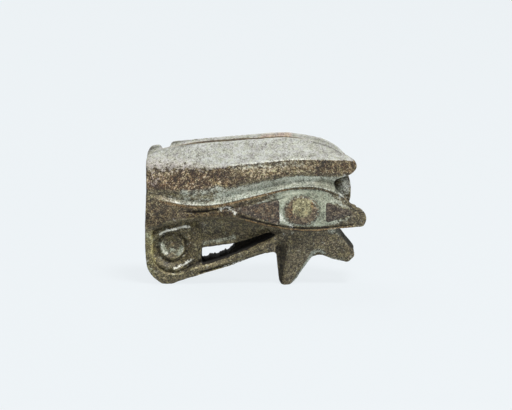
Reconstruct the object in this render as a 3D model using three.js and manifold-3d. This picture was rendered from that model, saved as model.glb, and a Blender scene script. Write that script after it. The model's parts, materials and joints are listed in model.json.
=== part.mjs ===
// Wedjat eye amulet, carved alike on both faces and pierced lengthwise for a stringing cord.
// Lengths are in millimetres. +X runs along the eye, +Z is up and the front face looks toward -Y.
// The origin is on the resting plane, under the middle of the amulet's box.

import * as THREE from "three";
import { mergeVertices } from "three/addons/utils/BufferGeometryUtils.js";
import Module from "manifold-3d";

const wasm = await Module();
wasm.setup();

// Driving dimensions
const length = 22;
const height = 14.8;
const faceThickness = 2.4;
const coreThickness = 2.6;
const boreDiameter = 1.4;

// Pupil discs
const pupilHalfWidth = 1.62;
const pupilHalfHeight = 1.38;
const pupilInset = 0.6;
const pupilRise = 0.14;

// Corner inlays, the dark triangles of the white of the eye
const innerBand = 0.66;
const innerCornerLength = 4.3;
const innerCornerHeight = 2.2;
const outerBand = 0.93;
const outerCornerLength = 2.45;
const outerCornerHeight = 1.8;
const cornerDrop = 0.21;
const cornerInset = 0.45;
const cornerTipRound = 0.12;

// Clearance of every inlay to the wall of its pocket
const inlayGap = 0.06;

// Curl panel at the lower left
const panelDepth = 0.36;
const bossRadius = 1.12;
const bossEdgeRise = 0.16;
const bossDomeRise = 0.34;
const curlOuterRadius = 1.85;
const curlInnerRadius = 1.5;
const curlHalfWidth = 0.24;
const curlRise = 0.34;

// Roundings of the outlines
const cornerRound = 0.35;
const bellyRound = 0.9;
const tipRound = 0.28;
const crotchRound = 0.4;
const flow = Infinity;

// How far a cutting body runs past what it cuts
const overrun = 0.5;

// Steps of the curved surfaces
const reliefStations = 34;
const bendSteps = 4;
const roundSteps = 32;
const domeSteps = 4;
const curlSteps = 18;
const curlSides = 8;

// Points nearer to each other than these shares of the length count as one
const outlineWeldShare = 1e-4;
const meshWeldShare = 1e-5;

// Places of round features, as shares of the length and the height
const pupilPlaceShares = [0.703, 0.516];
const bossPlaceShares = [0.117, 0.260];
const boreHeightShare = 0.645;

// Drop of each corner inlay's far tip below its base's middle, as a share of its height
const innerTipDropShare = -0.11;
const outerTipDropShare = 0.08;

// Angles of the curl ridge about the boss
const curlStartAngle = THREE.MathUtils.degToRad(150);
const curlEndAngle = THREE.MathUtils.degToRad(-85);

// Outlines. Each point is a share of the length, a share of the height and the rounding of the bend.

// The run that all three layers share: down the left end, along the bar and both cheek marks to under the eye
const lowerRunShares = [
  [0.000, 0.105, bellyRound],
  [0.030, 0.046, bellyRound],
  [0.072, 0.000, tipRound],
  [0.112, 0.000, tipRound],
  [0.155, 0.026, flow],
  [0.250, 0.069, flow],
  [0.379, 0.124, flow],
  [0.520, 0.206, flow],
  [0.588, 0.229, crotchRound],
  [0.605, 0.000, tipRound],
  [0.662, 0.000, tipRound],
  [0.760, 0.200, crotchRound],
  [0.800, 0.206, flow],
  [0.838, 0.174, flow],
  [0.915, 0.150, tipRound],
  [0.950, 0.200, tipRound],
  [0.922, 0.258, flow],
  [0.852, 0.388, crotchRound],
];

// The eye's tip, the notch behind it and the end of the brow. The rear tip hides behind the front one.
const frontEyeRunShares = [
  [0.986, 0.392, tipRound],
  [1.000, 0.430, flow],
  [0.998, 0.480, flow],
  [0.988, 0.514, flow],
  [0.966, 0.545, flow],
  [0.918, 0.580, flow],
  [0.868, 0.632, flow],
  [0.846, 0.690, flow],
  [0.858, 0.724, flow],
  [0.890, 0.736, flow],
  [0.930, 0.755, tipRound],
];
const backEyeRunShares = [
  [0.982, 0.392, tipRound],
  [0.994, 0.425, flow],
  [0.975, 0.478, flow],
  [0.932, 0.514, flow],
  [0.868, 0.604, flow],
  [0.846, 0.690, flow],
  [0.858, 0.724, flow],
  [0.890, 0.736, flow],
  [0.925, 0.752, tipRound],
];

const frontBrowRunShares = [
  [0.956, 0.795, flow],
  [0.951, 0.828, flow],
  [0.927, 0.864, flow],
  [0.886, 0.893, flow],
  [0.840, 0.933, flow],
  [0.766, 0.970, flow],
  [0.690, 0.997, flow],
  [0.600, 0.997, flow],
  [0.500, 0.987, flow],
  [0.400, 0.974, flow],
  [0.288, 0.962, flow],
  [0.190, 0.950, flow],
  [0.100, 0.924, flow],
  [0.020, 0.896, flow],
  [0.000, 0.858, cornerRound],
];

// The rear brow falls away sooner at its right end and has a nick near its left end
const backBrowRunShares = [
  [0.945, 0.772, flow],
  [0.925, 0.815, flow],
  [0.896, 0.852, flow],
  [0.866, 0.906, flow],
  [0.832, 0.938, flow],
  [0.790, 0.962, flow],
  [0.700, 0.988, flow],
  [0.620, 1.000, flow],
  [0.520, 0.990, flow],
  [0.380, 0.973, flow],
  [0.240, 0.957, flow],
  [0.112, 0.940, tipRound],
  [0.098, 0.878, tipRound],
  [0.074, 0.878, tipRound],
  [0.064, 0.914, tipRound],
  [0.040, 0.918, flow],
  [0.012, 0.905, flow],
  [0.000, 0.850, cornerRound],
];

// The core stands out behind the notch, where the bore ends, and lies low between the two brows
const coreRunShares = [
  [0.984, 0.392, tipRound],
  [0.996, 0.425, flow],
  [0.984, 0.482, flow],
  [0.936, 0.518, flow],
  [0.919, 0.552, flow],
  [0.928, 0.605, flow],
  [0.929, 0.660, flow],
  [0.920, 0.725, cornerRound],
  [0.905, 0.748, tipRound],
  [0.926, 0.772, cornerRound],
  [0.924, 0.812, flow],
  [0.880, 0.862, flow],
  [0.840, 0.902, flow],
  [0.790, 0.930, flow],
  [0.700, 0.968, flow],
  [0.630, 0.981, flow],
  [0.540, 0.970, flow],
  [0.440, 0.964, flow],
  [0.350, 0.956, flow],
  [0.240, 0.941, flow],
  [0.150, 0.922, flow],
  [0.050, 0.888, flow],
  [0.000, 0.842, cornerRound],
];

// The gap between the curl, the band under the eye and the bar, open through the whole amulet
const gapShares = [
  [0.250, 0.246, tipRound],
  [0.250, 0.134, tipRound],
  [0.345, 0.171, flow],
  [0.443, 0.238, flow],
  [0.553, 0.306, flow],
  [0.592, 0.346, tipRound],
  [0.553, 0.350, flow],
  [0.459, 0.298, flow],
  [0.402, 0.273, flow],
];

// The sunk panel round the curl, which runs on above the gap
const panelShares = [
  [0.034, 0.372, cornerRound],
  [0.034, 0.150, cornerRound],
  [0.070, 0.080, cornerRound],
  [0.130, 0.074, cornerRound],
  [0.215, 0.130, flow],
  [0.345, 0.200, flow],
  [0.443, 0.268, flow],
  [0.575, 0.352, tipRound],
  [0.540, 0.396, flow],
  [0.409, 0.436, flow],
  [0.231, 0.440, flow],
  [0.120, 0.418, flow],
];

// Relief of a face, from its top to its foot. Each rail is a line that runs along the face, and each of its
// points is a share of the length, a share of the height and a share of the face's thickness.
const reliefRailShares = {
  aboveBrow: [[0, 1.06, 0.02], [0.3, 1.08, 0.04], [0.66, 1.10, 0.18], [0.87, 1.05, 0.04], [1, 1.02, 0.02]],
  browTop: [
    [0, 0.880, 0.10], [0.10, 0.912, 0.11], [0.18, 0.938, 0.12], [0.30, 0.964, 0.14], [0.45, 0.986, 0.20],
    [0.56, 0.988, 0.27], [0.66, 0.980, 0.32], [0.77, 0.958, 0.28], [0.87, 0.905, 0.16], [1, 0.885, 0.06],
  ],
  browRidge: [
    [0, 0.811, 0.58], [0.16, 0.820, 0.68], [0.29, 0.811, 0.76], [0.44, 0.835, 0.86], [0.55, 0.853, 0.93],
    [0.66, 0.869, 0.98], [0.80, 0.866, 0.88], [0.94, 0.848, 0.44], [1, 0.842, 0.30],
  ],
  browFoot: [
    [0, 0.645, 0.60], [0.09, 0.641, 0.62], [0.27, 0.630, 0.70], [0.345, 0.665, 0.74], [0.48, 0.710, 0.80],
    [0.59, 0.742, 0.83], [0.66, 0.760, 0.84], [0.84, 0.751, 0.68], [1, 0.740, 0.34],
  ],
  sinkFloor: [
    [0, 0.622, 0.60], [0.06, 0.618, 0.56], [0.11, 0.602, 0.44], [0.27, 0.582, 0.46], [0.345, 0.606, 0.49],
    [0.48, 0.654, 0.56], [0.59, 0.690, 0.61], [0.66, 0.710, 0.63], [0.77, 0.714, 0.59], [0.84, 0.696, 0.50],
    [1, 0.600, 0.20],
  ],
  lidCrest: [
    [0, 0.606, 0.60], [0.05, 0.592, 0.61], [0.16, 0.558, 0.64], [0.25, 0.549, 0.66], [0.345, 0.564, 0.70],
    [0.44, 0.600, 0.76], [0.55, 0.643, 0.82], [0.63, 0.671, 0.87], [0.70, 0.682, 0.88], [0.79, 0.674, 0.83],
    [0.86, 0.635, 0.69], [0.92, 0.582, 0.52], [1, 0.500, 0.30],
  ],
  lidFoot: [
    [0, 0.570, 0.60], [0.08, 0.540, 0.60], [0.17, 0.501, 0.55], [0.265, 0.505, 0.55], [0.345, 0.526, 0.60],
    [0.40, 0.535, 0.63], [0.50, 0.578, 0.69], [0.59, 0.622, 0.75], [0.65, 0.647, 0.79], [0.70, 0.656, 0.80],
    [0.79, 0.643, 0.75], [0.86, 0.603, 0.61], [0.92, 0.554, 0.45], [1, 0.486, 0.27],
  ],
  eyeMiddle: [
    [0, 0.470, 0.60], [0.17, 0.478, 0.62], [0.345, 0.498, 0.66], [0.42, 0.506, 0.68], [0.50, 0.508, 0.74],
    [0.60, 0.512, 0.81], [0.70, 0.522, 0.87], [0.80, 0.512, 0.80], [0.88, 0.490, 0.65], [1, 0.452, 0.32],
  ],
  lowerLid: [
    [0, 0.381, 0.58], [0.12, 0.440, 0.61], [0.23, 0.462, 0.64], [0.34, 0.468, 0.67], [0.41, 0.460, 0.69],
    [0.46, 0.444, 0.71], [0.55, 0.412, 0.77], [0.66, 0.388, 0.84], [0.77, 0.381, 0.80], [0.87, 0.390, 0.62],
    [1, 0.404, 0.28],
  ],
  underLid: [
    [0, 0.352, 0.46], [0.12, 0.410, 0.46], [0.23, 0.434, 0.44], [0.34, 0.440, 0.44], [0.41, 0.432, 0.47],
    [0.46, 0.417, 0.52], [0.55, 0.385, 0.62], [0.66, 0.360, 0.72], [0.77, 0.353, 0.68], [0.87, 0.362, 0.50],
    [1, 0.376, 0.24],
  ],
  cheek: [
    [0, 0.220, 0.46], [0.25, 0.240, 0.44], [0.45, 0.260, 0.46], [0.60, 0.250, 0.60], [0.70, 0.240, 0.66],
    [0.80, 0.240, 0.62], [0.93, 0.235, 0.48], [1, 0.230, 0.36],
  ],
  foot: [[0, -0.03, 0.42], [0.25, -0.03, 0.44], [0.45, -0.03, 0.48], [0.63, -0.03, 0.54], [1, -0.03, 0.40]],
};

const along = (share) => (share - 0.5) * length;
const up = (share) => share * height;
const seam = coreThickness / 2;

/** Turns a run of share points into a closed list of points in the X and Z plane, with its bends rounded. */
function outlinePoints(run) {
  const corners = run.map(([x, z, round]) => ({ at: new THREE.Vector2(along(x), up(z)), round }));
  return bentPoints(corners);
}

/** Rounds each corner of a closed list by a quadratic bend that starts its rounding away from the corner. */
function bentPoints(corners) {
  const points = [];
  corners.forEach(({ at, round }, index) => {
    const before = corners.at(index - 1).at;
    const after = corners[(index + 1) % corners.length].at;
    const entry = at.clone().lerp(before, Math.min(0.5, round / at.distanceTo(before)));
    const exit = at.clone().lerp(after, Math.min(0.5, round / at.distanceTo(after)));
    const bend = new THREE.QuadraticBezierCurve(entry, at, exit);
    points.push(...bend.getPoints(bendSteps));
  });
  return points.filter((point, index) => point.distanceTo(points.at(index - 1)) > outlineWeldShare * length);
}

/** A solid with the given outline in the X and Z plane, between two depths along Y. */
function prism(points, nearDepth, farDepth) {
  const geometry = new THREE.ExtrudeGeometry(new THREE.Shape(points), {
    depth: farDepth - nearDepth,
    bevelEnabled: false,
  });
  geometry.rotateX(Math.PI / 2);
  geometry.translate(0, farDepth, 0);
  return toSolid(geometry);
}

/** Changes a closed three.js geometry into a solid that can be joined and cut. */
function toSolid(geometry) {
  const bare = new THREE.BufferGeometry();
  bare.setAttribute("position", geometry.getAttribute("position").clone());
  if (geometry.index) bare.setIndex(geometry.index.clone());
  const merged = mergeVertices(bare, meshWeldShare * length);
  return new wasm.Manifold(new wasm.Mesh({
    numProp: 3,
    vertProperties: new Float32Array(merged.getAttribute("position").array),
    triVerts: new Uint32Array(merged.index.array),
  }));
}

/** Changes a solid back into a geometry. A mirrored one lies on the front side, toward -Y. */
function toGeometry(solid, mirrored = false) {
  const { vertProperties, triVerts } = solid.getMesh();
  const positions = Float32Array.from(vertProperties);
  const triangles = Uint32Array.from(triVerts);
  if (mirrored) {
    for (let i = 1; i < positions.length; i += 3) positions[i] = -positions[i];
    for (let i = 0; i < triangles.length; i += 3) {
      [triangles[i + 1], triangles[i + 2]] = [triangles[i + 2], triangles[i + 1]];
    }
  }
  const geometry = new THREE.BufferGeometry();
  geometry.setAttribute("position", new THREE.BufferAttribute(positions, 3));
  geometry.setIndex(new THREE.BufferAttribute(triangles, 1));
  geometry.computeVertexNormals();
  return geometry;
}

/** A rail as a smooth function of the share along the length, giving its height and its thickness shares. */
function railFunction(points) {
  const places = new Float32Array(points.map(([x]) => x));
  const values = new Float32Array(points.flatMap(([, z, thickness]) => [z, thickness]));
  const spline = new THREE.CubicInterpolant(places, values, 2);
  return (x) => Array.from(spline.evaluate(x));
}

const rails = Object.values(reliefRailShares).map(railFunction);

/** Depth of the relief above the seam at a place, read between the two rails that pass above and below it. */
function reliefDepth(xShare, zShare) {
  const crossings = rails.map((rail) => rail(xShare));
  const below = crossings.findIndex(([z]) => z <= zShare);
  const [upper, lower] = [crossings[below - 1], crossings[below]];
  const share = (upper[0] - zShare) / (upper[0] - lower[0]);
  return THREE.MathUtils.lerp(upper[1], lower[1], share) * faceThickness;
}

/** The carved block of a face, from the seam outward, before its outline is cut. */
function reliefBlock() {
  const positions = [];
  const triangles = [];
  const columns = reliefStations + 1;
  const rows = rails.length;
  for (const flat of [false, true]) {
    for (const rail of rails) {
      for (let i = 0; i < columns; i++) {
        const share = i / reliefStations;
        const [z, thickness] = rail(share);
        const past = i === 0 ? -overrun : i === reliefStations ? overrun : 0;
        positions.push(along(share) + past, flat ? seam : seam + thickness * faceThickness, up(z));
      }
    }
  }
  const vertex = (layer, row, column) => layer * rows * columns + row * columns + column;
  const quad = (a, b, c, d) => triangles.push(a, b, c, a, c, d);
  for (let row = 0; row < rows - 1; row++) {
    for (let column = 0; column < reliefStations; column++) {
      const corners = [[row, column], [row, column + 1], [row + 1, column + 1], [row + 1, column]];
      const [a, b, c, d] = corners.map(([r, k]) => vertex(0, r, k));
      const [e, f, g, h] = corners.map(([r, k]) => vertex(1, r, k));
      quad(a, b, c, d);
      quad(h, g, f, e);
    }
  }
  for (let column = 0; column < reliefStations; column++) {
    quad(vertex(0, 0, column), vertex(1, 0, column), vertex(1, 0, column + 1), vertex(0, 0, column + 1));
    const last = rows - 1;
    quad(vertex(0, last, column), vertex(0, last, column + 1), vertex(1, last, column + 1), vertex(1, last, column));
  }
  for (let row = 0; row < rows - 1; row++) {
    quad(vertex(0, row, 0), vertex(0, row + 1, 0), vertex(1, row + 1, 0), vertex(1, row, 0));
    const end = reliefStations;
    quad(vertex(0, row, end), vertex(1, row, end), vertex(1, row + 1, end), vertex(0, row + 1, end));
  }
  const geometry = new THREE.BufferGeometry();
  geometry.setAttribute("position", new THREE.Float32BufferAttribute(positions, 3));
  geometry.setIndex(triangles);
  return toSolid(geometry);
}

const relief = reliefBlock();
const far = seam + faceThickness + overrun;
const gapCutter = prism(outlinePoints(gapShares), -far, far);

/** The profile of a disc of radius 1, from its flat root to its rim and over a dome to its middle. */
function domed(root, rim, rise) {
  const profile = [[0, root], [1, root], [1, rim]];
  for (let i = 1; rise > 0 && i < domeSteps; i++) {
    const angle = (Math.PI / 2) * (i / domeSteps);
    profile.push([Math.cos(angle), rim + rise * Math.sin(angle)]);
  }
  return [...profile, [0, rim + rise]];
}

/** A body of revolution about the depth axis, stretched to two half sizes. */
function turned(profile, halfWidth, halfHeight, [xShare, zShare]) {
  const geometry = new THREE.LatheGeometry(profile.map(([r, y]) => new THREE.Vector2(r, y)), roundSteps);
  geometry.scale(halfWidth, 1, halfHeight);
  geometry.translate(along(xShare), 0, up(zShare));
  return toSolid(geometry);
}

// Depths that the inlays and their pockets share
const pupilSurface = seam + reliefDepth(...pupilPlaceShares);
const pupilFloor = pupilSurface - pupilInset;
const pupilX = along(pupilPlaceShares[0]);
const pupilZ = up(pupilPlaceShares[1]);

// The two corner inlays of a face. The side is -1 toward the brow's start and 1 toward the eye's tip.
const corners = [
  {
    name: "inner_corner",
    side: -1,
    band: innerBand,
    reach: innerCornerLength,
    span: innerCornerHeight,
    tipDrop: innerTipDropShare * innerCornerHeight,
  },
  {
    name: "outer_corner",
    side: 1,
    band: outerBand,
    reach: outerCornerLength,
    span: outerCornerHeight,
    tipDrop: outerTipDropShare * outerCornerHeight,
  },
];
const cornerZ = pupilZ - cornerDrop;

/** Outline of a corner inlay, grown by a clearance. */
function cornerOutline({ side, band, reach, span, tipDrop }, grown) {
  const base = pupilX + side * (pupilHalfWidth + band - grown);
  const tip = pupilX + side * (pupilHalfWidth + band + reach + 2 * grown);
  const half = span / 2 + grown;
  const points = [
    [base, cornerZ + half],
    [base, cornerZ - half],
    [tip, cornerZ - tipDrop],
  ];
  return bentPoints(points.map(([x, z]) => ({ at: new THREE.Vector2(x, z), round: cornerTipRound })));
}

/** Depth of the flat floor under a corner inlay, measured down from the eye's surface at its far tip. */
function cornerFloor({ side, band, reach }) {
  const tipX = pupilX + side * (pupilHalfWidth + band + reach);
  return seam + reliefDepth(tipX / length + 0.5, cornerZ / height) - cornerInset;
}

/** One carved face, with its pockets cut, for the given run round the eye's tip and along the brow. */
function face(upperRun) {
  const outline = prism(outlinePoints([...lowerRunShares, ...upperRun]), seam, far);
  const bossFloor = seam + reliefDepth(...bossPlaceShares) - panelDepth;
  let solid = relief.intersect(outline);
  solid = solid.subtract(prism(outlinePoints(panelShares), bossFloor, far));
  solid = solid.add(curlBoss(bossFloor)).add(curlRidge(bossFloor));
  solid = solid.subtract(gapCutter);
  const pocket = domed(pupilFloor, far, 0);
  solid = solid.subtract(turned(pocket, pupilHalfWidth + inlayGap, pupilHalfHeight + inlayGap, pupilPlaceShares));
  for (const corner of corners) {
    solid = solid.subtract(prism(cornerOutline(corner, inlayGap), cornerFloor(corner), far));
  }
  return solid;
}

/** The domed knob that the curl winds round. */
function curlBoss(floor) {
  const profile = domed(floor - panelDepth / 2, floor + bossEdgeRise, bossDomeRise);
  return turned(profile, bossRadius, bossRadius, bossPlaceShares);
}

/** The raised ridge that arches over the knob and winds in below it. */
function curlRidge(floor) {
  const path = [];
  for (let i = 0; i <= curlSteps; i++) {
    const share = i / curlSteps;
    const angle = THREE.MathUtils.lerp(curlStartAngle, curlEndAngle, share);
    const radius = THREE.MathUtils.lerp(curlOuterRadius, curlInnerRadius, share);
    const x = along(bossPlaceShares[0]) + radius * Math.cos(angle);
    const z = up(bossPlaceShares[1]) + radius * Math.sin(angle);
    path.push(new THREE.Vector3(x, floor, z));
  }
  const section = [];
  for (let i = 0; i < curlSides; i++) {
    const angle = (2 * Math.PI * i) / curlSides;
    section.push(new THREE.Vector2(curlRise * Math.cos(angle), curlHalfWidth * Math.sin(angle)));
  }
  const geometry = new THREE.ExtrudeGeometry(new THREE.Shape(section), {
    steps: curlSteps,
    extrudePath: new THREE.CatmullRomCurve3(path),
  });
  return toSolid(geometry);
}

/** The middle layer, with the stringing bore along the length. */
function core() {
  const outline = prism(outlinePoints([...lowerRunShares, ...coreRunShares]), -seam, seam);
  const bore = new THREE.CylinderGeometry(boreDiameter / 2, boreDiameter / 2, length + 2 * overrun, roundSteps);
  bore.rotateZ(Math.PI / 2);
  bore.translate(0, 0, up(boreHeightShare));
  return outline.subtract(gapCutter).subtract(toSolid(bore));
}

/** The slightly domed disc of a pupil, seated flat on its pocket's floor. */
function pupil() {
  return turned(domed(pupilFloor, pupilSurface, pupilRise), pupilHalfWidth, pupilHalfHeight, pupilPlaceShares);
}

/** A corner inlay, seated flat on its pocket's floor and level with the eye outside. */
function cornerInlay(corner) {
  return relief.intersect(prism(cornerOutline(corner, 0), cornerFloor(corner), far));
}

// Finishes
const glazedBody = new THREE.MeshStandardMaterial({ color: 0x6e6250, roughness: 0.6, metalness: 0 });
const coreBody = new THREE.MeshStandardMaterial({ color: 0x5f5443, roughness: 0.75, metalness: 0 });
const pupilPaste = new THREE.MeshStandardMaterial({ color: 0x88845f, roughness: 0.55, metalness: 0 });
const cornerPaste = new THREE.MeshStandardMaterial({ color: 0x57493a, roughness: 0.6, metalness: 0 });

const amulet = new THREE.Group();

/** Adds a named piece to the amulet. */
function addPiece(name, geometry, material) {
  const mesh = new THREE.Mesh(geometry, material);
  mesh.name = name;
  amulet.add(mesh);
}

const sides = [
  { name: "front", upperRun: [...frontEyeRunShares, ...frontBrowRunShares], mirrored: true },
  { name: "back", upperRun: [...backEyeRunShares, ...backBrowRunShares], mirrored: false },
];

addPiece("core", toGeometry(core()), coreBody);
for (const { name, upperRun, mirrored } of sides) {
  addPiece(`${name}_face`, toGeometry(face(upperRun), mirrored), glazedBody);
  addPiece(`${name}_pupil`, toGeometry(pupil(), mirrored), pupilPaste);
  for (const corner of corners) {
    addPiece(`${name}_${corner.name}`, toGeometry(cornerInlay(corner), mirrored), cornerPaste);
  }
}

export default amulet;
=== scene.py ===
"""Looks of a small wedjat eye amulet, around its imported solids.

The amulet stands on its lower edge: +X along the eye, +Z up, front face toward -Y. Its carved body is
sculpted in one go over the three layers and then parted at their seams, so that the wear runs on from layer
to layer. Places on a face are shares of the amulet's length and height. Widths and depths are in
millimetres, and so are the sizes in a finish.
"""

import json
import logging
import math
from dataclasses import dataclass
from enum import Enum
from typing import Any, Sequence

import bpy
import numpy as np
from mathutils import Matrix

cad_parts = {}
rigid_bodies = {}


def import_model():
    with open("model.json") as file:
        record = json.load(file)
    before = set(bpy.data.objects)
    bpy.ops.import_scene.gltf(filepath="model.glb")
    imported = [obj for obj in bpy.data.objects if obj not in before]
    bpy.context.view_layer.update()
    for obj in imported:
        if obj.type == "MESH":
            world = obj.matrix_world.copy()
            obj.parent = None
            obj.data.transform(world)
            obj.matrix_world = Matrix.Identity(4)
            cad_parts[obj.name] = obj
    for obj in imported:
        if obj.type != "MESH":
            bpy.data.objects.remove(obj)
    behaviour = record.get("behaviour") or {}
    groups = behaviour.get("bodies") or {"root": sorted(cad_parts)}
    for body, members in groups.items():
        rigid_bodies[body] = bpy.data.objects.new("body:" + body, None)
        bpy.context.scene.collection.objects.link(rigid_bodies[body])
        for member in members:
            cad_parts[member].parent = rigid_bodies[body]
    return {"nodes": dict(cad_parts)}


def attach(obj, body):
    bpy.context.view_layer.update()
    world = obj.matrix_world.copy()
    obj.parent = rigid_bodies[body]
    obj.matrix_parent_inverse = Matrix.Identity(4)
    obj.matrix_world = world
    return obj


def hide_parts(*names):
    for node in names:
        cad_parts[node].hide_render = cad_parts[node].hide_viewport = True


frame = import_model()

log = logging.getLogger("amulet")

MM = 0.001
ROOT_BODY = "root"

# The design's length and height, and how far the seams between the layers lie from the middle.
LENGTH = 22.0
HEIGHT = 14.8
SEAM = 1.3

# A stroke adds nothing beyond this many widths, and a curved one gets this many parts for each point. A spot
# falls off over this share of its size.
STROKE_REACH = 2.5
STROKE_PARTS = 5
SPOT_FALL = 0.8
MERGE_DISTANCE = 0.0001 * MM

Colour = tuple[float, float, float]
Tones = tuple[Colour, Colour, Colour, Colour]
Point = tuple[float, float]
Path = tuple[Point, ...]
Rise = tuple[float, float]
Span = tuple[float, float, float]


def linear(red: float, green: float, blue: float) -> Colour:
    """Changes a colour as it is seen, 0 to 255, into the linear one that shaders take.

    Args:
        red: Red as seen.
        green: Green as seen.
        blue: Blue as seen.

    Returns:
        The linear colour.
    """
    shares = (red / 255, green / 255, blue / 255)
    return tuple(s / 12.92 if s <= 0.04045 else ((s + 0.055) / 1.055) ** 2.4 for s in shares)


def rise(low: Any, high: Any, values: np.ndarray) -> np.ndarray:
    """Rises smoothly from 0 at low to 1 at high.

    Args:
        low: Where the rise starts.
        high: Where it ends.
        values: The values to read it at.

    Returns:
        The share of the rise at each value.
    """
    share = np.clip((values - low) / (high - low), 0, 1)
    return share * share * (3 - 2 * share)


def window(low: float, high: float, edge: float, values: np.ndarray) -> np.ndarray:
    """Is 1 between low and high and falls smoothly to 0 outside, over the edge."""
    return rise(low, low + edge, values) * (1 - rise(high - edge, high, values))


def swell(offset: np.ndarray, width: float) -> np.ndarray:
    """A rounded line: 1 on it, falling to nothing about two widths away."""
    return np.exp(-((offset / width) ** 2))


def curve(knots: np.ndarray, values: np.ndarray, at: np.ndarray) -> np.ndarray:
    """Reads a smooth curve through some values.

    Args:
        knots: Where the values stand, rising.
        values: The values, one row for each knot.
        at: Where to read the curve.

    Returns:
        The curve's values.
    """
    slope = np.gradient(values, knots, axis=0)
    at = np.clip(at, knots[0], knots[-1])
    i = np.clip(np.searchsorted(knots, at, side="right") - 1, 0, len(knots) - 2)
    width = knots[i + 1] - knots[i]
    share = (at - knots[i]) / width
    if values.ndim > 1:
        width, share = width[:, None], share[:, None]
    return (
        (2 * share**3 - 3 * share**2 + 1) * values[i]
        + (share**3 - 2 * share**2 + share) * width * slope[i]
        + (-2 * share**3 + 3 * share**2) * values[i + 1]
        + (share**3 - share**2) * width * slope[i + 1]
    )


class Side(Enum):
    """Which face something lies on."""

    BOTH = 0
    FRONT = -1
    BACK = 1


@dataclass(frozen=True)
class Place:
    """Where the points of a surface lie on the carved design."""

    s: np.ndarray
    t: np.ndarray
    depth: np.ndarray
    facing: np.ndarray
    side: np.ndarray

    def on(self, side: Side) -> np.ndarray:
        """Is 1 for the points on that side."""
        return np.ones(len(self.s)) if side is Side.BOTH else (self.side == side.value).astype(float)


@dataclass(frozen=True)
class Rail:
    """A line carved along a face, as shares of the length and the height."""

    points: Path

    def at(self, along: np.ndarray) -> np.ndarray:
        """Height share of the line at each share of the length."""
        knots, values = np.array(self.points).T
        return curve(knots, values, along)

    def above(self, place: Place, low: Any, high: Any) -> np.ndarray:
        """Rises from 0 to 1 between two heights over the line, as shares of the height."""
        return rise(low, high, place.t - self.at(place.s))


BROW_RIDGE = Rail((
    (0, 0.811), (0.16, 0.820), (0.29, 0.811), (0.44, 0.835), (0.55, 0.853), (0.66, 0.869), (0.80, 0.866),
    (0.94, 0.848), (1, 0.842),
))
BROW_FOOT = Rail((
    (0, 0.645), (0.09, 0.641), (0.27, 0.630), (0.345, 0.665), (0.48, 0.710), (0.59, 0.742), (0.66, 0.760),
    (0.84, 0.751), (1, 0.740),
))
LID_CREST = Rail((
    (0, 0.606), (0.05, 0.592), (0.16, 0.558), (0.25, 0.549), (0.345, 0.564), (0.44, 0.600), (0.55, 0.643),
    (0.63, 0.671), (0.70, 0.682), (0.79, 0.674), (0.86, 0.635), (0.92, 0.582), (1, 0.500),
))
LID_FOOT = Rail((
    (0, 0.570), (0.08, 0.540), (0.17, 0.501), (0.265, 0.505), (0.345, 0.526), (0.40, 0.535), (0.50, 0.578),
    (0.59, 0.622), (0.65, 0.647), (0.70, 0.656), (0.79, 0.643), (0.86, 0.603), (0.92, 0.554), (1, 0.486),
))
EYE_TOP = Rail((
    (0, 0.500), (0.34, 0.506), (0.416, 0.516), (0.516, 0.553), (0.602, 0.592), (0.64, 0.610), (1, 0.470),
))
LOWER_LID = Rail((
    (0, 0.381), (0.12, 0.440), (0.23, 0.462), (0.34, 0.468), (0.41, 0.460), (0.46, 0.444), (0.55, 0.412),
    (0.66, 0.388), (0.77, 0.381), (0.87, 0.390), (1, 0.404),
))
CORNER_RIM: Path = (
    (0.023, 0.359), (0.025, 0.235), (0.036, 0.166), (0.064, 0.098), (0.102, 0.068), (0.155, 0.073),
    (0.219, 0.108), (0.311, 0.150),
)
LONG_MARK_EDGE: Path = ((0.757, 0.215), (0.728, 0.141), (0.700, 0.072), (0.672, 0.014))
INNER_CORNER_EDGE: Path = ((0.614, 0.590), (0.614, 0.547), (0.612, 0.499), (0.607, 0.450))
# Middle of the bore's end, which several masks paint lighter against the shadow that the brow casts on it.
BORE_END: Point = (0.905, 0.665)


@dataclass(frozen=True)
class Line:
    """Something that follows a rail for a stretch: a cut, a ridge or a stain."""

    rail: Rail
    amount: float
    width: float
    start: float
    end: float
    lift: float = 0.0
    fade: float = 0.05

    def weight(self, place: Place) -> np.ndarray:
        """How strongly it acts at each point, times its amount."""
        offset = (place.t - self.rail.at(place.s) - self.lift) * HEIGHT
        return self.amount * window(self.start, self.end, self.fade, place.s) * swell(offset, self.width)


@dataclass(frozen=True)
class Stroke:
    """Something that follows a path of its own. The flat share of its width is level."""

    points: Path
    amount: float
    width: float
    flat: float = 0.0
    side: Side = Side.BOTH

    def _path(self) -> np.ndarray:
        """Works out the path in millimetres, curved where it has more than two points.

        Returns:
            The points of the path, one in each row.
        """
        path = np.array(self.points) * (LENGTH, HEIGHT)
        if len(path) == 2:
            return path
        knots = np.arange(len(path), dtype=float)
        return curve(knots, path, np.linspace(0, knots[-1], STROKE_PARTS * len(path)))

    def weight(self, place: Place) -> np.ndarray:
        """How strongly it acts at each point, times its amount.

        Args:
            place: The points.

        Returns:
            The weights.
        """
        path = self._path()
        reach = self.width * STROKE_REACH
        x, z = place.s * LENGTH, place.t * HEIGHT
        low, high = path.min(axis=0) - reach, path.max(axis=0) + reach
        near = np.flatnonzero((x > low[0]) & (x < high[0]) & (z > low[1]) & (z < high[1]))
        spot = np.column_stack((x[near], z[near]))
        distance = np.full(len(near), np.inf)
        for start, end in zip(path[:-1], path[1:]):
            run = end - start
            share = np.clip(((spot - start) @ run) / (run @ run), 0, 1)
            distance = np.minimum(distance, np.linalg.norm(spot - start - share[:, None] * run, axis=1))
        beyond = np.maximum(0, distance - self.flat * self.width)
        weight = np.zeros(len(x))
        weight[near] = self.amount * swell(beyond, (1 - self.flat) * self.width)
        return weight * place.on(self.side)


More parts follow.
